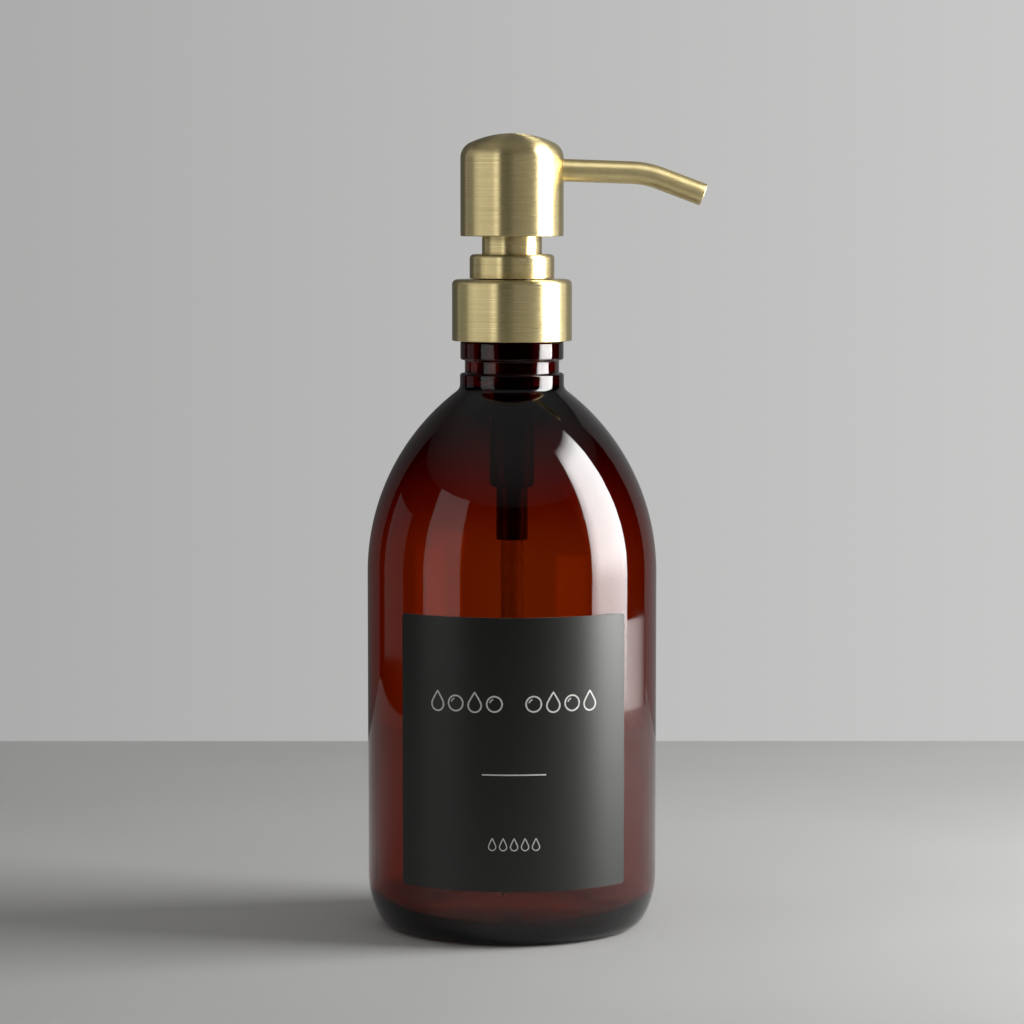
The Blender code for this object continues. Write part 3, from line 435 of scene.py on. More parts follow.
# ---- bottle ----
def thread_swell(angle, r, z):
    """How far the glass stands out for the screw thread at this angle and height."""
    if r < FINISH_R - 0.1 * MM or z < BEAD_TOP_Z + 0.5 * MM:
        return 0.0
    first_z = RIM_Z - THREAD_TOP_BELOW_RIM - THREAD_PITCH * THREAD_TURNS
    out = 0.0
    for turn in range(math.ceil(THREAD_TURNS) + 1):
        along = angle / (2 * math.pi) + turn
        if along > THREAD_TURNS:
            break
        away = abs(z - (first_z + THREAD_PITCH * along))
        taper = min(1.0, along / THREAD_TAPER_TURNS, (THREAD_TURNS - along) / THREAD_TAPER_TURNS)
        share = min(1.0, max(0.0, (THREAD_HALF_FOOT - away) / THREAD_FLANK))
        smooth = share * share * (3 - 2 * share)
        out = max(out, THREAD_DEPTH * smooth * taper)
    return out


def bulge(radius, foot_z, height):
    """A shallow push-up from the axis outwards, height tall in the middle."""
    steps = 8
    return [(radius * i / steps, foot_z + height * (1 - (i / steps) ** 2)) for i in range(steps + 1)]


def inside_profile(shoulder_z):
    """Up the inside of the bottle, from the middle of its floor to the bore of its neck."""
    reach = INNER_R - BORE_R
    rise = NECK_ROOT_Z - INNER_NECK_DROP - shoulder_z
    shoulder_arc = (reach**2 + rise**2) / (2 * reach)
    shoulder_end = math.degrees(math.asin(rise / shoulder_arc))
    inside = bulge(INNER_R - INNER_HEEL_R, GLASS_BASE, FLOOR_RISE)
    inside += arc(INNER_R - INNER_HEEL_R, GLASS_BASE + INNER_HEEL_R, INNER_HEEL_R, -90, 0, 14)[1:]
    inside += arc(INNER_R - shoulder_arc, shoulder_z, shoulder_arc, 0, shoulder_end - 1.5, 44)
    inside.append((BORE_R + 0.05 * MM, shoulder_z + rise + 0.4 * MM))
    inside.append((BORE_R, shoulder_z + rise + 1.6 * MM))
    inside.append((BORE_R, RIM_Z - RIM_ROUND))
    return inside


def neck_profile():
    """Over the rim and down the outside of the neck, with rows close enough for the thread."""
    profile = arc(BORE_R + RIM_ROUND, RIM_Z - RIM_ROUND, RIM_ROUND, 180, 90, 5)[1:]
    profile += arc(FINISH_R - RIM_ROUND, RIM_Z - RIM_ROUND, RIM_ROUND, 90, 0, 5)
    rows = 46
    top, bottom = RIM_Z - 0.95 * MM, BEAD_TOP_Z + 0.55 * MM
    profile += [(FINISH_R, top + (bottom - top) * i / rows) for i in range(rows + 1)]
    corners = [
        (FINISH_R, bottom, 0),
        (FINISH_R, BEAD_TOP_Z, 0.45 * MM),
        (BEAD_R, BEAD_TOP_Z, 0.7 * MM),
        (BEAD_R, BEAD_BOTTOM_Z, 0.6 * MM),
        (GROOVE_R, BEAD_BOTTOM_Z, 0.4 * MM),
        (GROOVE_R, GROOVE_BOTTOM_Z, 0.4 * MM),
        (LOWER_RING_R, GROOVE_BOTTOM_Z, 0.6 * MM),
        (LOWER_RING_R, NECK_ROOT_Z + ROOT_BLEND, 0),
    ]
    return profile + rounded(corners, closed=False)[1:]


def root_profile(shoulder_end):
    """A short curve from the lower ring into the shoulder, which begins at that angle in degrees."""
    swing = math.radians(shoulder_end)
    tangent = Vector((-math.sin(swing), math.cos(swing)))
    above = Vector((LOWER_RING_R, NECK_ROOT_Z + ROOT_BLEND))
    corner = Vector((LOWER_RING_R, NECK_ROOT_Z))
    below = corner - tangent * ROOT_BLEND
    points = []
    for i in range(1, 6):
        t = i / 6
        points.append(tuple((1 - t) ** 2 * above + 2 * t * (1 - t) * corner + t * t * below))
    return points


def heel_profile():
    """From the straight side round the heel to the ring that the bottle stands on, and its push-up."""
    rise = (HEEL_Z - HEEL_LOWER_R) / (HEEL_UPPER_R - HEEL_LOWER_R)
    swing = math.degrees(math.asin(rise))
    upper_r = BODY_R - HEEL_UPPER_R
    lower_r = upper_r + (HEEL_UPPER_R - HEEL_LOWER_R) * math.cos(math.radians(swing))
    heel = arc(upper_r, HEEL_Z, HEEL_UPPER_R, 0, -swing, 14)
    heel += arc(lower_r, HEEL_LOWER_R, HEEL_LOWER_R, -swing, -90, 12)[1:]
    heel += [(29.6 * MM, 0.0), (28.9 * MM, 0.08 * MM), (28.3 * MM, 0.28 * MM)]
    return heel + list(reversed(bulge(27.6 * MM, 0.46 * MM, PUSH_UP)))


def bottle_profile():
    """Up the inside of the bottle and down its outside, from pole to pole."""
    shoulder_r = BODY_R - SHOULDER_R
    shoulder_end = math.degrees(math.acos((LOWER_RING_R - shoulder_r) / SHOULDER_R))
    shoulder_z = NECK_ROOT_Z - SHOULDER_R * math.sin(math.radians(shoulder_end))
    skip = math.degrees(ROOT_BLEND / SHOULDER_R)
    shoulder = arc(shoulder_r, shoulder_z, SHOULDER_R, shoulder_end - skip, 0, 72)
    outside = neck_profile() + root_profile(shoulder_end) + shoulder + heel_profile()
    return inside_profile(shoulder_z) + outside


glass = turned("bottle_glass", bottle_profile(), amber_glass(), closed=False, swell=thread_swell)
rides(glass, "bottle", "amber_glass", "bottle")

# ---- label ----
LABEL_TURN = math.radians(0.8)
LABEL_R = BODY_R + 0.05 * MM
LABEL_THICK = 0.13 * MM
LABEL_HALF = 65.5 / 2 * MM
LABEL_CORNER = 1.1 * MM
LABEL_CORNER_STEPS = 8
LABEL_STEPS = 80
INK_LIFT = 0.015 * MM


def wrap(u, v, radius):
    """A point of the flat label laid on the bottle."""
    angle = u / LABEL_R + LABEL_TURN
    return (radius * math.sin(angle), -radius * math.cos(angle), v)


def make_label():
    """The label as a thin shell of stations (place across it, distance in from its upper and lower edge)."""
    corner = []
    for i in range(LABEL_CORNER_STEPS + 1):
        angle = math.pi / 2 * i / LABEL_CORNER_STEPS
        in_u = LABEL_CORNER * (1 - math.cos(angle))
        corner.append((in_u - LABEL_HALF, LABEL_CORNER * (1 - math.sin(angle))))
    inner = LABEL_HALF - LABEL_CORNER
    stations = corner + [(-inner + 2 * inner * i / LABEL_STEPS, 0.0) for i in range(1, LABEL_STEPS)]
    stations += [(-u, dip) for u, dip in reversed(corner)]
    loops = []
    verts, faces = [], []
    for radius in (LABEL_R, LABEL_R + LABEL_THICK):
        rows = []
        for u, dip in stations:
            rows.append(len(verts))
            verts.append(wrap(u, label_low.z + dip, radius))
            verts.append(wrap(u, label_high.z - dip, radius))
        loops.append(rows)
    back, front = loops
    for i in range(len(stations) - 1):
        a, b, c, d = back[i], back[i + 1], front[i], front[i + 1]
        faces += [(a, a + 1, b + 1, b), (c, d, d + 1, c + 1), (a, b, d, c), (a + 1, c + 1, d + 1, b + 1)]
    faces.append((back[0], front[0], front[0] + 1, back[0] + 1))
    faces.append((back[-1], back[-1] + 1, front[-1] + 1, front[-1]))
    sheet = object_from("label_sheet", verts, faces, coated_paper())
    sheet.data.materials.append(cut_paper())
    # the faces that look sideways are the cut edge
    for face in sheet.data.polygons:
        outwards = Vector((face.center.x, face.center.y)).normalized()
        if abs(outwards.dot(face.normal.xy)) < 0.7:
            face.material_index = 1
    return sheet


def ribbon(points, width, closed):
    """A flat stroke of that width along points (u, v), as quads in the label's own plane."""
    count = len(points)
    left, right = [], []
    for i, point in enumerate(points):
        before = points[(i - 1) % count] if closed or i else point
        after = points[(i + 1) % count] if closed or i < count - 1 else point
        along = (Vector(after) - Vector(before)).normalized()
        side = Vector((-along.y, along.x)) * (width / 2)
        left.append(tuple(Vector(point) + side))
        right.append(tuple(Vector(point) - side))
    last = count if closed else count - 1
    return [(left[i], left[(i + 1) % count], right[(i + 1) % count], right[i]) for i in range(last)]


def bubble(u, v, radius, width):
    """A ring with a short glint inside it."""
    steps = 40
    turns = [2 * math.pi * i / steps for i in range(steps)]
    ring = [(u + radius * math.cos(a), v + radius * math.sin(a)) for a in turns]
    glint_radius = radius * 0.62
    glint = []
    for i in range(9):
        a = math.radians(105 + 60 * i / 8)
        glint.append((u + glint_radius * math.cos(a), v + glint_radius * math.sin(a)))
    return ribbon(ring, width, True) + ribbon(glint, width * 0.8, False)


def drop(u, v, half_width, height, width):
    """An outlined drop, point up, round below."""
    centre = v - height / 2 + half_width
    tip = v + height / 2
    outline = []
    for i in range(33):
        a = math.radians(30 - 240 * i / 32)
        outline.append((u + half_width * math.cos(a), centre + half_width * math.sin(a)))
    end_u, end_v = outline[-1]
    left = []
    for i in range(1, 8):
        t = i / 8
        left.append((end_u + (u - end_u) * t, end_v + (tip - end_v) * t**0.92))
    right = [(2 * u - side_u, side_v) for side_u, side_v in reversed(left)]
    return ribbon([*outline, *left, (u, tip), *right], width, True)


def make_ornament():
    """Generic marks in place of print: a row of drops and bubbles, a rule, and a small row."""
    stroke = 0.42 * MM
    group = [(5.1 + 5.2 * i) * MM for i in range(4)]
    quads = []
    drop_places = (0, 2, 5, 7)
    for i, u in enumerate([-u for u in reversed(group)] + group):
        if i in drop_places:
            quads += drop(u, 65.0 * MM, 1.75 * MM, 5.2 * MM, stroke)
        else:
            quads += bubble(u, 64.6 * MM, 2.0 * MM, stroke)
    rule = [(u * 0.7 * MM, 46.1 * MM) for u in range(-12, 13)]
    quads += ribbon(rule, 0.36 * MM, False)
    for i in range(5):
        quads += drop((i - 2) * 2.85 * MM, 27.9 * MM, 0.95 * MM, 3.2 * MM, 0.27 * MM)
    verts, faces = [], []
    for quad in quads:
        first = len(verts)
        verts += [wrap(u, v, LABEL_R + LABEL_THICK + INK_LIFT) for u, v in quad]
        faces.append((first, first + 1, first + 2, first + 3))
    return object_from("label_ornament", verts, faces, printed_ink())


rides(make_label(), "bottle", "label_paper", "front_label")
rides(make_ornament(), "bottle", "label_paper")

# ---- brass shells ----
def cap(low, high, bore, wall, fillets):
    """A thin cap: a flat top with a round hole, and a straight side. fillets has one for each corner."""
    corners = (
        (bore, high.z),
        (high.x, high.z),
        (high.x, low.z),
        (high.x - wall, low.z),
        (high.x - wall, high.z - wall),
        (bore, high.z - wall),
    )
    return rounded([(r, z, fillet * MM) for (r, z), fillet in zip(corners, fillets)])


collar_profile = cap(collar_low, collar_high, 7.8 * MM, 0.5 * MM, (0.15, 1.3, 0.35, 0.1, 0.8, 0.1))
collar = turned("collar_metal", collar_profile, turned_brass("collar_brass"))
rides(collar, "collar", "brushed_brass", "collar_shell")

ring_profile = cap(ring_low, ring_high, 8.3 * MM, 0.4 * MM, (0.15, 1.1, 0.2, 0.1, 0.8, 0.1))
ring = turned("ring_metal", ring_profile, turned_brass("ring_brass", groove=0.6))
rides(ring, "pump", "brushed_brass", "ring_shell")

tower_profile = cap(tower_low, tower_high, 6.0 * MM, 0.4 * MM, (0.12, 0.5, 0.1, 0.1, 0.2, 0.12))
tower = turned("tower_metal", tower_profile, turned_brass("tower_brass"))
rides(tower, "pump", "brushed_brass", "tower_sleeve")


def dome(radius, crown_radius, edge_radius, crown_centre_z, crown_points, edge_points):
    """A shallow crown that runs into an upright side through a smaller arc, from the axis outwards."""
    edge_r = radius - edge_radius
    edge_rise = math.sqrt((crown_radius - edge_radius) ** 2 - edge_r**2)
    meet = math.degrees(math.atan2(edge_rise, edge_r))
    points = arc(0.0, crown_centre_z, crown_radius, 90, meet, crown_points)
    points[0] = (0.0, points[0][1])
    return points + arc(edge_r, crown_centre_z + edge_rise, edge_radius, meet, 0, edge_points)[1:]


HEAD_WALL = 0.8 * MM
CROWN_R = 26.5 * MM
CROWN_EDGE_R = 4.5 * MM
SKIRT_FOOT = 2.0 * MM
head_r = head_high.x
crown_z = head_high.z - CROWN_R
head_profile = dome(head_r, CROWN_R, CROWN_EDGE_R, crown_z, 16, 22)
head_profile += rounded(
    [
        (head_r, head_low.z + SKIRT_FOOT, 0),
        (head_r, head_low.z, 0.35 * MM),
        (head_r - HEAD_WALL, head_low.z, 0.2 * MM),
        (head_r - HEAD_WALL, head_low.z + SKIRT_FOOT, 0),
    ],
    closed=False,
)
hollow = dome(head_r - HEAD_WALL, CROWN_R - HEAD_WALL, CROWN_EDGE_R - HEAD_WALL, crown_z, 8, 10)
head_profile += reversed(hollow)
head = turned("head_metal", head_profile, turned_brass("head_brass"), closed=False)
rides(head, "head", "brushed_brass", "head_shell")


# ---- spout ----
SPOUT_R = 3.0 * MM
SPOUT_WALL = 0.5 * MM
SPOUT_START_X = 6.5 * MM
SPOUT_LEAVES_Z = head_high.z - 9.8 * MM
SPOUT_TIP_X = 51.0 * MM
SPOUT_TIP_DROP = 6.55 * MM
SPOUT_BEND_R = 24.0 * MM
SPOUT_BEND_STEPS = 20
FIRST_SLOPE_DEG = 2.0
LAST_SLOPE_DEG = 20.8
LINER_SETBACK = 0.5 * MM
LINER_WALL = 0.5 * MM
LINER_GAP = 0.3 * MM


def spout_route(setback):
    """Middles and directions along the spout: straight out of the head, one bend, straight to the tip."""
    first_slope, last_slope = math.radians(FIRST_SLOPE_DEG), math.radians(LAST_SLOPE_DEG)
    first = Vector((math.cos(first_slope), 0.0, -math.sin(first_slope)))
    last = Vector((math.cos(last_slope), 0.0, -math.sin(last_slope)))
    leaves = Vector((head_r, 0.0, SPOUT_LEAVES_Z))
    tip = Vector((SPOUT_TIP_X, 0.0, SPOUT_LEAVES_Z - SPOUT_TIP_DROP))
    begin = leaves + first * ((SPOUT_START_X - head_r) / first.x)
    between = tip - begin
    along = (between.x * last.z - between.z * last.x) / (first.x * last.z - first.z * last.x)
    corner = begin + first * along
    swing = last_slope - first_slope
    bend_start = corner - first * (SPOUT_BEND_R * math.tan(swing / 2))
    centre = bend_start + Vector((first.z, 0.0, -first.x)) * SPOUT_BEND_R
    route = [(begin + first * setback, first)]
    for i in range(12):
        route.append((begin + (bend_start - begin) * (i + 1) / 13, first))
    for i in range(SPOUT_BEND_STEPS + 1):
        turn = Matrix.Rotation(swing * i / SPOUT_BEND_STEPS, 3, "Y")
        route.append((centre + turn @ (bend_start - centre), turn @ first))
    bend_end = route[-1][0]
    for i in range(5):
        route.append((bend_end + (tip - bend_end) * (i + 1) / 6, last))
    route.append((tip - last * setback, last))
    return route


def tube_stations(route, outer, wall, edge):
    """Stations out along the outside of a tube, over its rounded end, and back along the inside."""
    tip, last = route[-1]
    quarter = [math.radians(90 * i / 4) for i in range(5)]
    stations = [(middle, direction, outer) for middle, direction in route[:-1]]
    for a in quarter:
        stations.append((tip - last * edge * (1 - math.sin(a)), last, outer - edge * (1 - math.cos(a))))
    for a in quarter:
        inner = outer - wall + edge * (1 - math.sin(a))
        stations.append((tip - last * edge * (1 - math.cos(a)), last, inner))
    stations += [(middle, direction, outer - wall) for middle, direction in reversed(route[:-1])]
    return stations


spout_path = tube_stations(spout_route(0.0), SPOUT_R, SPOUT_WALL, 0.15 * MM)
spout = swept("spout_metal", spout_path, satin_brass("spout_brass"))
rides(spout, "head", "spout_brass", "spout_tube")
pale_plastic = moulded_plastic(
    "natural_plastic", (0.74, 0.74, 0.70), 0.38, Subsurface_Weight=0.25, Subsurface_Scale=0.002
)
liner_r = SPOUT_R - SPOUT_WALL - LINER_GAP
liner_path = tube_stations(spout_route(LINER_SETBACK), liner_r, LINER_WALL, 0.12 * MM)
liner = swept("spout_inner", liner_path, pale_plastic)
rides(liner, "head", "natural_plastic", "spout_liner")

# ---- barrel and dip tube, seen through the glass ----
FLANGE_BOTTOM_Z = RIM_Z + 1.5 * MM
FLANGE_TOP_Z = FLANGE_BOTTOM_Z + 1.1 * MM
FLANGE_R = 12.2 * MM
SPIGOT_R = 7.5 * MM
PLUG_R = BORE_R - 0.15 * MM
PLUG_WALL = 1.0 * MM
PLUG_BOTTOM_Z = NECK_ROOT_Z + 2.0 * MM
UPPER_BARREL_R = 7.7 * MM
UPPER_BORE_R = 6.7 * MM
BORE_STEP_Z = FLANGE_BOTTOM_Z - 9.1 * MM
UPPER_BARREL_Z = BORE_STEP_Z - 1.0 * MM
BARREL_R = 6.0 * MM
BARREL_BORE_R = 5.0 * MM
BARREL_BOTTOM_Z = FLANGE_BOTTOM_Z - 50.7 * MM
BARREL_CHAMFER = 0.8 * MM
SOCKET_R = 4.2 * MM
SOCKET_BORE_R = 3.3 * MM
SOCKET_STOP_Z = BARREL_BOTTOM_Z - 2.1 * MM
VALVE_HOLE_R = 1.3 * MM
VALVE_SEAT_R = 3.6 * MM
VALVE_SEAT_Z = BARREL_BOTTOM_Z + 0.3 * MM
BARREL_FLOOR_Z = VALVE_SEAT_Z + VALVE_SEAT_R - VALVE_HOLE_R

black_plastic = moulded_plastic("black_plastic", (0.018, 0.018, 0.019), 0.36)
barrel_profile = rounded(
    [
        (UPPER_BORE_R, barrel_high.z, 0.15 * MM),
        (SPIGOT_R, barrel_high.z, 0.2 * MM),
        (SPIGOT_R, FLANGE_TOP_Z, 0.15 * MM),
        (FLANGE_R, FLANGE_TOP_Z, 0.3 * MM),
        (FLANGE_R, FLANGE_BOTTOM_Z, 0.3 * MM),
        (PLUG_R, FLANGE_BOTTOM_Z, 0.2 * MM),
        (PLUG_R, PLUG_BOTTOM_Z, 0.3 * MM),
        (PLUG_R - PLUG_WALL, PLUG_BOTTOM_Z, 0.2 * MM),
        (PLUG_R - PLUG_WALL, FLANGE_BOTTOM_Z, 0.2 * MM),
        (UPPER_BARREL_R, FLANGE_BOTTOM_Z, 0.2 * MM),
        (UPPER_BARREL_R, UPPER_BARREL_Z, 0.4 * MM),
        (BARREL_R, UPPER_BARREL_Z - (UPPER_BARREL_R - BARREL_R), 0.4 * MM),
        (BARREL_R, BARREL_BOTTOM_Z + BARREL_CHAMFER, 0.3 * MM),
        (BARREL_R - BARREL_CHAMFER, BARREL_BOTTOM_Z, 0.3 * MM),
        (SOCKET_R, BARREL_BOTTOM_Z, 0.4 * MM),
        (SOCKET_R, barrel_low.z, 0.3 * MM),
        (SOCKET_BORE_R, barrel_low.z, 0.2 * MM),
        (SOCKET_BORE_R, SOCKET_STOP_Z, 0.1 * MM),
        (VALVE_HOLE_R, SOCKET_STOP_Z, 0.1 * MM),
        (VALVE_HOLE_R, VALVE_SEAT_Z, 0.1 * MM),
        (VALVE_SEAT_R, BARREL_FLOOR_Z, 0.1 * MM),
        (BARREL_BORE_R, BARREL_FLOOR_Z, 0.1 * MM),
        (BARREL_BORE_R, BORE_STEP_Z, 0.2 * MM),
        (UPPER_BORE_R, BORE_STEP_Z, 0.1 * MM),
    ]
)
barrel = turned("pump_barrel", barrel_profile, black_plastic, segments=SMALL_SEGMENTS)
rides(barrel, "pump", "black_plastic", "pump_housing")

TUBE_R = 3.0 * MM
TUBE_BORE_R = 2.2 * MM
TUBE_CUT_DEG = 30.0
tube_foot_z = tube_low.z + 4.0 * MM
tube_plastic = moulded_plastic("tube_plastic", (0.86, 0.86, 0.83), 0.22, Transmission_Weight=0.85, IOR=1.45)
tube_profile = rounded(
    [
        (TUBE_BORE_R, tube_high.z, 0.1 * MM),
        (TUBE_R, tube_high.z, 0.15 * MM),
        (TUBE_R, tube_foot_z, 0),
        (TUBE_R, tube_low.z, 0),
        (TUBE_BORE_R, tube_low.z, 0),
        (TUBE_BORE_R, tube_foot_z, 0),
    ]
)
dip_tube = turned("dip_tube_clear", tube_profile, tube_plastic, segments=SMALL_SEGMENTS)
for vert in dip_tube.data.vertices:
    if vert.co.z < tube_low.z + 0.1 * MM:
        vert.co.z += (vert.co.x + TUBE_R) * math.tan(math.radians(TUBE_CUT_DEG))
rides(dip_tube, "pump", "natural_plastic", "dip_tube")

# ---- return spring, as long as the CAD spring ----
spring_low, spring_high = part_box("return_spring")
WIRE_R = 0.4 * MM
SPRING_R = 3.95 * MM
SPRING_TURNS = 7.5
WIRE_SIDES = 12
COIL_STEPS = 28


def make_spring(material):
    """Round wire wound evenly round the axis."""
    verts, rings = [], []
    count = round(SPRING_TURNS * COIL_STEPS)
    foot, rise = spring_low.z + WIRE_R, spring_high.z - spring_low.z - 2 * WIRE_R
    slope = rise / (2 * math.pi * SPRING_TURNS * SPRING_R)
    for i in range(count + 1):
        share = i / count
        angle = 2 * math.pi * SPRING_TURNS * share
        middle = Vector((SPRING_R * math.cos(angle), SPRING_R * math.sin(angle), foot + rise * share))
        outwards = Vector((math.cos(angle), math.sin(angle), 0.0))
        along = Vector((-math.sin(angle), math.cos(angle), slope)).normalized()
        upwards = outwards.cross(along)
        ring = []
        for j in range(WIRE_SIDES):
            turn = 2 * math.pi * j / WIRE_SIDES
            ring.append(len(verts))
            verts.append(middle + (outwards * math.cos(turn) + upwards * math.sin(turn)) * WIRE_R)
        rings.append(ring)
    faces = strips(rings, False) + [tuple(reversed(rings[0])), tuple(rings[-1])]
    return object_from("spring_coil", verts, faces, material)


spring = rides(make_spring(drawn_steel("spring_wire")), "pump", "spring_steel", "return_spring")
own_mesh(spring)

# ---- materials of the CAD pieces that stay ----
rubber = moulded_plastic("seal_rubber", (0.03, 0.03, 0.03), 0.7, grain_scale=2600.0)
inner_plastic = moulded_plastic("inner_plastic", (0.78, 0.78, 0.75), 0.4)
steel = drawn_steel("bright_steel")
KEPT = {
    "collar_liner": black_plastic,
    "neck_gasket": rubber,
    "stem_guide": black_plastic,
    "stem_seal": rubber,
    "ball_cage": inner_plastic,
    "piston": inner_plastic,
    "stem": black_plastic,
    "actuator_core": black_plastic,
    "inlet_ball": steel,
    "outlet_ball": steel,
}
for name, material in KEPT.items():
    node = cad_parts[name]
    if not node.material_slots:
        node.data.materials.append(material)
    for material_slot in node.material_slots:
        material_slot.material = material


# ---- stage: a plain pale table top, and soft panels of light that show only to some rays or objects ----
TABLE_TOP_Z = -0.05 * MM
TABLE_FOOT_Z = -0.03
WARM_WHITE = (1.0, 0.995, 0.985)
MIRRORED = ("glossy",)
SEEN_THROUGH = ("transmission",)


def plain_surface():
    material, tree, shader = start("table_surface", (0.47, 0.47, 0.465), 0.75, Specular_IOR_Level=0.25)
    cloud = noise(tree, place(tree, 7.0), detail=2.0)
    tint(tree, shader, spread(tree, cloud, 0.3, 0.7, 0.0, 1.0), (0.455, 0.455, 0.45), (0.49, 0.49, 0.485))
    return material


def light_material(name):
    """An empty material and its node tree, ready for glow()."""
    material = bpy.data.materials.new(name)
    material.use_nodes = True
    tree = material.node_tree
    tree.nodes.remove(tree.nodes["Principled BSDF"])
    return material, tree


def glow(tree, color, strength):
    light = add(tree, "ShaderNodeEmission", None, Color=color, Strength=strength)
    tree.links.new(light.outputs[0], tree.nodes["Material Output"].inputs["Surface"])


def azimuth_of(tree, x, y):
    """The angle round the upright axis, 0 towards the camera and growing towards +X."""
    return calc(tree, "ARCTAN2", x, calc(tree, "MULTIPLY", y, -1.0))


def glowing(name, radiance, foot=None, top=None, side=None):
    """An even panel of light, dimmed over spans given as (from, to, share left) at foot, top and one side."""
    material, tree = light_material(name)
    x, y, z = axes(tree)
    strength = radiance
    if foot is not None:
        strength = calc(tree, "MULTIPLY", spread(tree, z, foot[0], foot[1], foot[2], 1.0), strength)
    if top is not None:
        strength = calc(tree, "MULTIPLY", spread(tree, z, top[0], top[1], 1.0, top[2]), strength)
    if side is not None:
        start_at, full_at = math.radians(side[0]), math.radians(side[1])
        share = spread(tree, azimuth_of(tree, x, y), start_at, full_at, side[2], 1.0)
        strength = calc(tree, "MULTIPLY", share, strength)
    glow(tree, rgba(WARM_WHITE), strength)
    return material


def light_only(obj, receivers):
    """Lets a light reach those objects and no others."""
    group = bpy.data.collections.new(obj.name + "_lights")
    for receiver in receivers:
        group.objects.link(receiver)
    obj.light_linking.receiver_collection = group


def overhead(name, target, distance, elevation_deg, size, radiance, receivers):
    """A flat lamp high in front of the target, facing it."""
    lamp = bpy.data.lights.new(name, "AREA")
    lamp.shape = "RECTANGLE"
    lamp.size, lamp.size_y = size
    lamp.energy = radiance * math.pi * size[0] * size[1]
    lamp.color = WARM_WHITE
    obj = bpy.data.objects.new(name, lamp)
    tilt = math.radians(elevation_deg)
    obj.location = target + Vector((0.0, -math.cos(tilt), math.sin(tilt))) * distance
    obj.rotation_euler = (math.radians(90.0 - elevation_deg), 0.0, 0.0)
    obj.visible_camera = False
    bpy.context.scene.collection.objects.link(obj)
    light_only(obj, receivers)


def bowed(name, azimuths, heights, radius, material, seen, only=()):
    """Part of a cylinder round the object. Azimuth 0 is towards the camera, -Y, and 90 towards +X.

    seen names the kinds of ray it shows to; only lists the objects it lights, or none for all of them.
    """
    columns, rows = 24, 16
    verts, faces = [], []
    for i in range(columns + 1):
        azimuth = math.radians(azimuths[0] + (azimuths[1] - azimuths[0]) * i / columns)
        for j in range(rows + 1):
            height = heights[0] + (heights[1] - heights[0]) * j / rows
            verts.append((radius * math.sin(azimuth), -radius * math.cos(azimuth), height))
    for i in range(columns):
        for j in range(rows):
            a = i * (rows + 1) + j
            faces.append((a, a + 1, a + rows + 2, a + rows + 1))
    obj = object_from(name, verts, faces, material)
    obj.visible_camera = False
    for kind in ("diffuse", "glossy", "transmission"):
        setattr(obj, "visible_" + kind, kind in seen)
    obj.visible_shadow = False
    if only:
        light_only(obj, only)


def table_slab(low_x, high_x, low_y, high_y, corner, edge):
    """A slab with rounded corners and a rounded upper edge, its top just under the bottle's base."""
    outline = []
    for middle_x, middle_y, first in (
        (high_x - corner, high_y - corner, 0),
        (low_x + corner, high_y - corner, 90),
        (low_x + corner, low_y + corner, 180),
        (high_x - corner, low_y + corner, 270),
    ):
        outline += [(middle_x, middle_y, math.radians(first + 90 * i / 12)) for i in range(13)]
    loops = []
    for a in (0, 0.4, 0.8, 1.2, math.pi / 2):
        loops.append((corner - edge * (1 - math.cos(a)), TABLE_TOP_Z - edge * (1 - math.sin(a))))
    loops.append((corner, TABLE_FOOT_Z))
    verts, rings = [], []
    for reach, z in loops:
        rings.append(range(len(verts), len(verts) + len(outline)))
        for middle_x, middle_y, a in outline:
            verts.append((middle_x + reach * math.cos(a), middle_y + reach * math.sin(a), z))
    *edge_rings, foot = rings
    faces = strips([foot, *edge_rings], False) + [tuple(edge_rings[-1]), tuple(reversed(foot))]
    return object_from("table_top", verts, faces, plain_surface())


def surround():
    """What the brass mirrors, by azimuth in degrees: dark towards the camera, brighter to both sides."""
    levels = (
        (-180, 0.2),
        (-125, 0.28),
        (-108, 0.42),
        (-85, 0.68),
        (-50, 1.35),
        (-33, 1.35),
        (-26, 0.1),
        (-4, 0.1),
        (6, 0.24),
        (50, 0.3),
        (62, 0.4),
        (66, 1.6),
        (104, 1.6),
        (112, 0.9),
        (130, 0.7),
        (180, 0.2),
    )
    brightest = 2.0
    material, tree = light_material("surround_light")
    x, y = axes(tree)[:2]
    share = spread(tree, azimuth_of(tree, x, y), -math.pi, math.pi, 0.0, 1.0)
    ramp = add(tree, "ShaderNodeValToRGB", None, _0=share)
    stops = ramp.color_ramp.elements
    for i, (degrees, level) in enumerate(levels):
        at = (degrees + 180) / 360
        stop = stops[i] if i < 2 else stops.new(at)
        stop.position = at
        stop.color = rgba((level / brightest,) * 3)
    glow(tree, ramp.outputs[0], brightest)
    return material


table_slab(low_x=-0.45, high_x=0.45, low_y=-0.45, high_y=0.339, corner=0.03, edge=0.002)

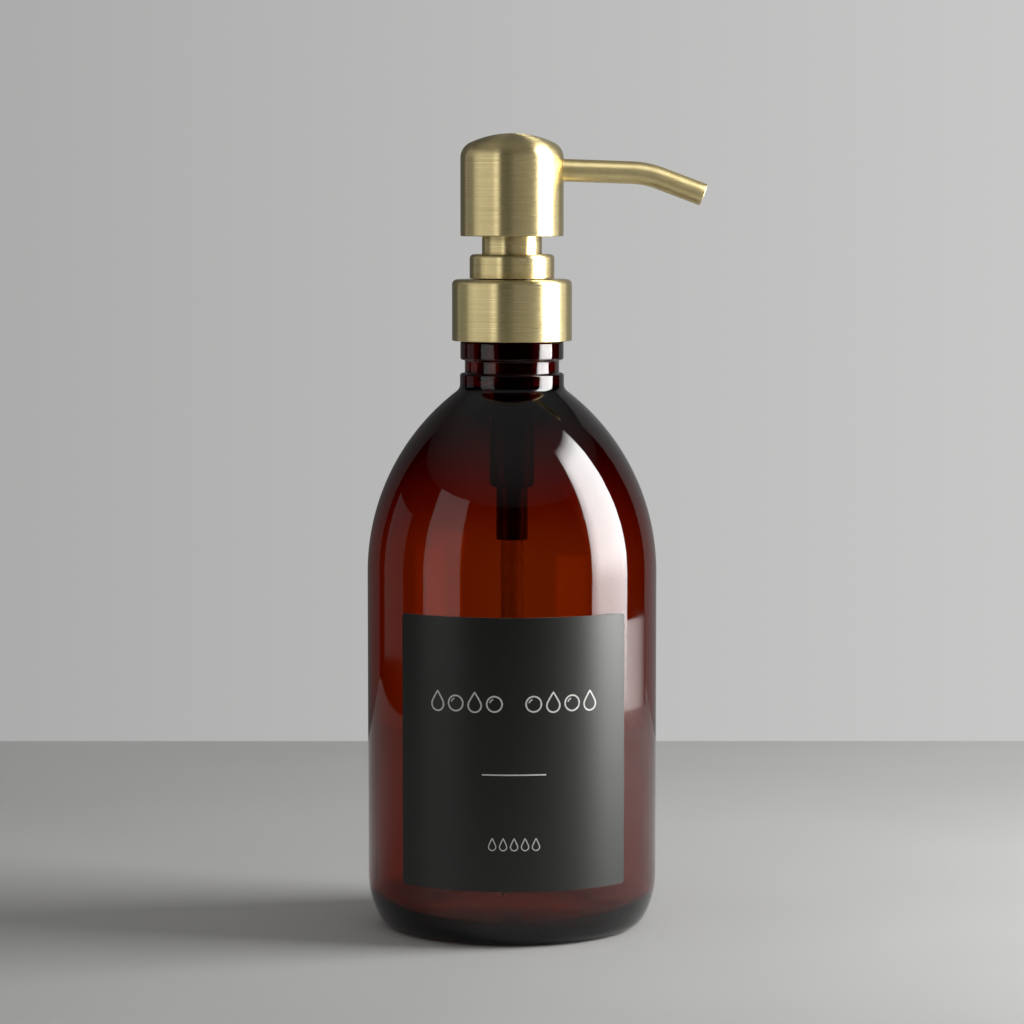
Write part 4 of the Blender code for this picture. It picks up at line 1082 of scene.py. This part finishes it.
# the window on the right, its dim foot, and what the glass passes on of it
right_light = glowing(
    "right_light", 17.0, foot=(0.0, 0.13, 0.25), top=(0.47, 0.64, 0.0), side=(62.5, 71.0, 0.45)
)
bowed("panel_right", (63.0, 99.2), (0.0125, 0.64), 0.37, right_light, seen=MIRRORED)
low_light = glowing("right_low_light", 5.0, side=(126.0, 99.2, 0.04))
bowed("panel_right_low", (99.2, 128.0), (0.0125, 0.046), 0.37, low_light, seen=MIRRORED)
through_light = glowing("through_light", 3.0)
bowed("panel_right_through", (64.2, 99.2), (0.0, 0.6), 0.365, through_light, seen=SEEN_THROUGH)
rear_right_light = glowing("rear_right_light", 0.26)
bowed("panel_rear_right", (128.0, 176.0), (-0.2, 0.6), 0.62, rear_right_light, seen=MIRRORED)

# what lights the table and the label
bowed("panel_key", (70.0, 106.0), (0.05, 0.7), 0.7, glowing("key_light", 12.0), seen=("diffuse",))

# the weaker window on the left
LEFT_SPAN = (-72.4, -40.4)
bowed("panel_left", LEFT_SPAN, (0.0, 0.52), 0.62, glowing("left_light", 0.76), seen=MIRRORED)
left_through_light = glowing("left_through_light", 3.5)
bowed("panel_left_through", LEFT_SPAN, (0.0, 0.4), 0.6, left_through_light, seen=SEEN_THROUGH)
side_left_light = glowing("side_left_light", 0.19)
bowed("panel_side_left", (-119.0, -93.5), (0.0, 0.3), 0.62, side_left_light, seen=MIRRORED)
rear_left_light = glowing("rear_left_light", 0.09)
bowed("panel_rear_left", (-176.0, -128.0), (-0.2, 0.6), 0.62, rear_left_light, seen=MIRRORED)

# what only the brass sees
brass_shells = (collar, ring, tower, head, spout)
bowed("panel_surround", (-180.0, 180.0), (-0.3, 0.95), 1.3, surround(), seen=MIRRORED, only=brass_shells)
spout_middle = Vector((0.02, 0.0, 0.2))
overhead("lamp_overhead", spout_middle, 1.0, 64.0, size=(1.2, 0.7), radiance=1.1, receivers=(spout,))


def pick(tree, ray, others, value):
    """value for that kind of ray, and others for the rest."""
    made = add(tree, "ShaderNodeMix", {"data_type": "FLOAT"}, _0=ray, _2=others, _3=value)
    return made.outputs[0]


def studio():
    """A pale room behind the object; what the glass and the brass mirror of it is dark."""
    world = bpy.data.worlds.new("studio")
    bpy.context.scene.world = world
    world.use_nodes = True
    tree = world.node_tree
    towards = add(tree, "ShaderNodeTexCoord").outputs["Generated"]
    x, y, z = add(tree, "ShaderNodeSeparateXYZ", None, _0=towards).outputs
    rays = tree.nodes.new("ShaderNodeLightPath").outputs
    wall = spread(tree, x, -0.15, 0.15, 0.40, 0.58)
    through = calc(tree, "MULTIPLY", spread(tree, y, -0.1, 0.2, 0.06, 1.0), wall)
    mirrored = spread(tree, z, 0.5, 0.85, 0.02, 0.2)
    # a ray passed on by glass counts as glossy as well, so its turn comes after the mirrored ones
    light = pick(tree, rays["Is Glossy Ray"], wall, mirrored)
    light = pick(tree, rays["Is Transmission Ray"], light, through)
    light = pick(tree, rays["Is Diffuse Ray"], light, 0.34)
    background = tree.nodes["Background"]
    background.inputs["Color"].default_value = rgba((1.0, 1.0, 0.994))
    tree.links.new(light, background.inputs["Strength"])


studio()

CAMERA_DISTANCE = 0.996
CAMERA_HEIGHT = 0.1953
CAMERA_DOWN_DEG = 4.82
camera_data = bpy.data.cameras.new("camera")
camera_data.lens = 131.03
camera_data.sensor_width = 36.0
camera_data.clip_start = 0.01
camera_data.clip_end = 20.0
camera = bpy.data.objects.new("camera", camera_data)
camera.location = (0.0, -CAMERA_DISTANCE, CAMERA_HEIGHT)
camera.rotation_euler = (math.radians(90.0 - CAMERA_DOWN_DEG), 0.0, 0.0)
bpy.context.scene.collection.objects.link(camera)
bpy.context.scene.camera = camera
bpy.context.scene.view_settings.view_transform = "Standard"
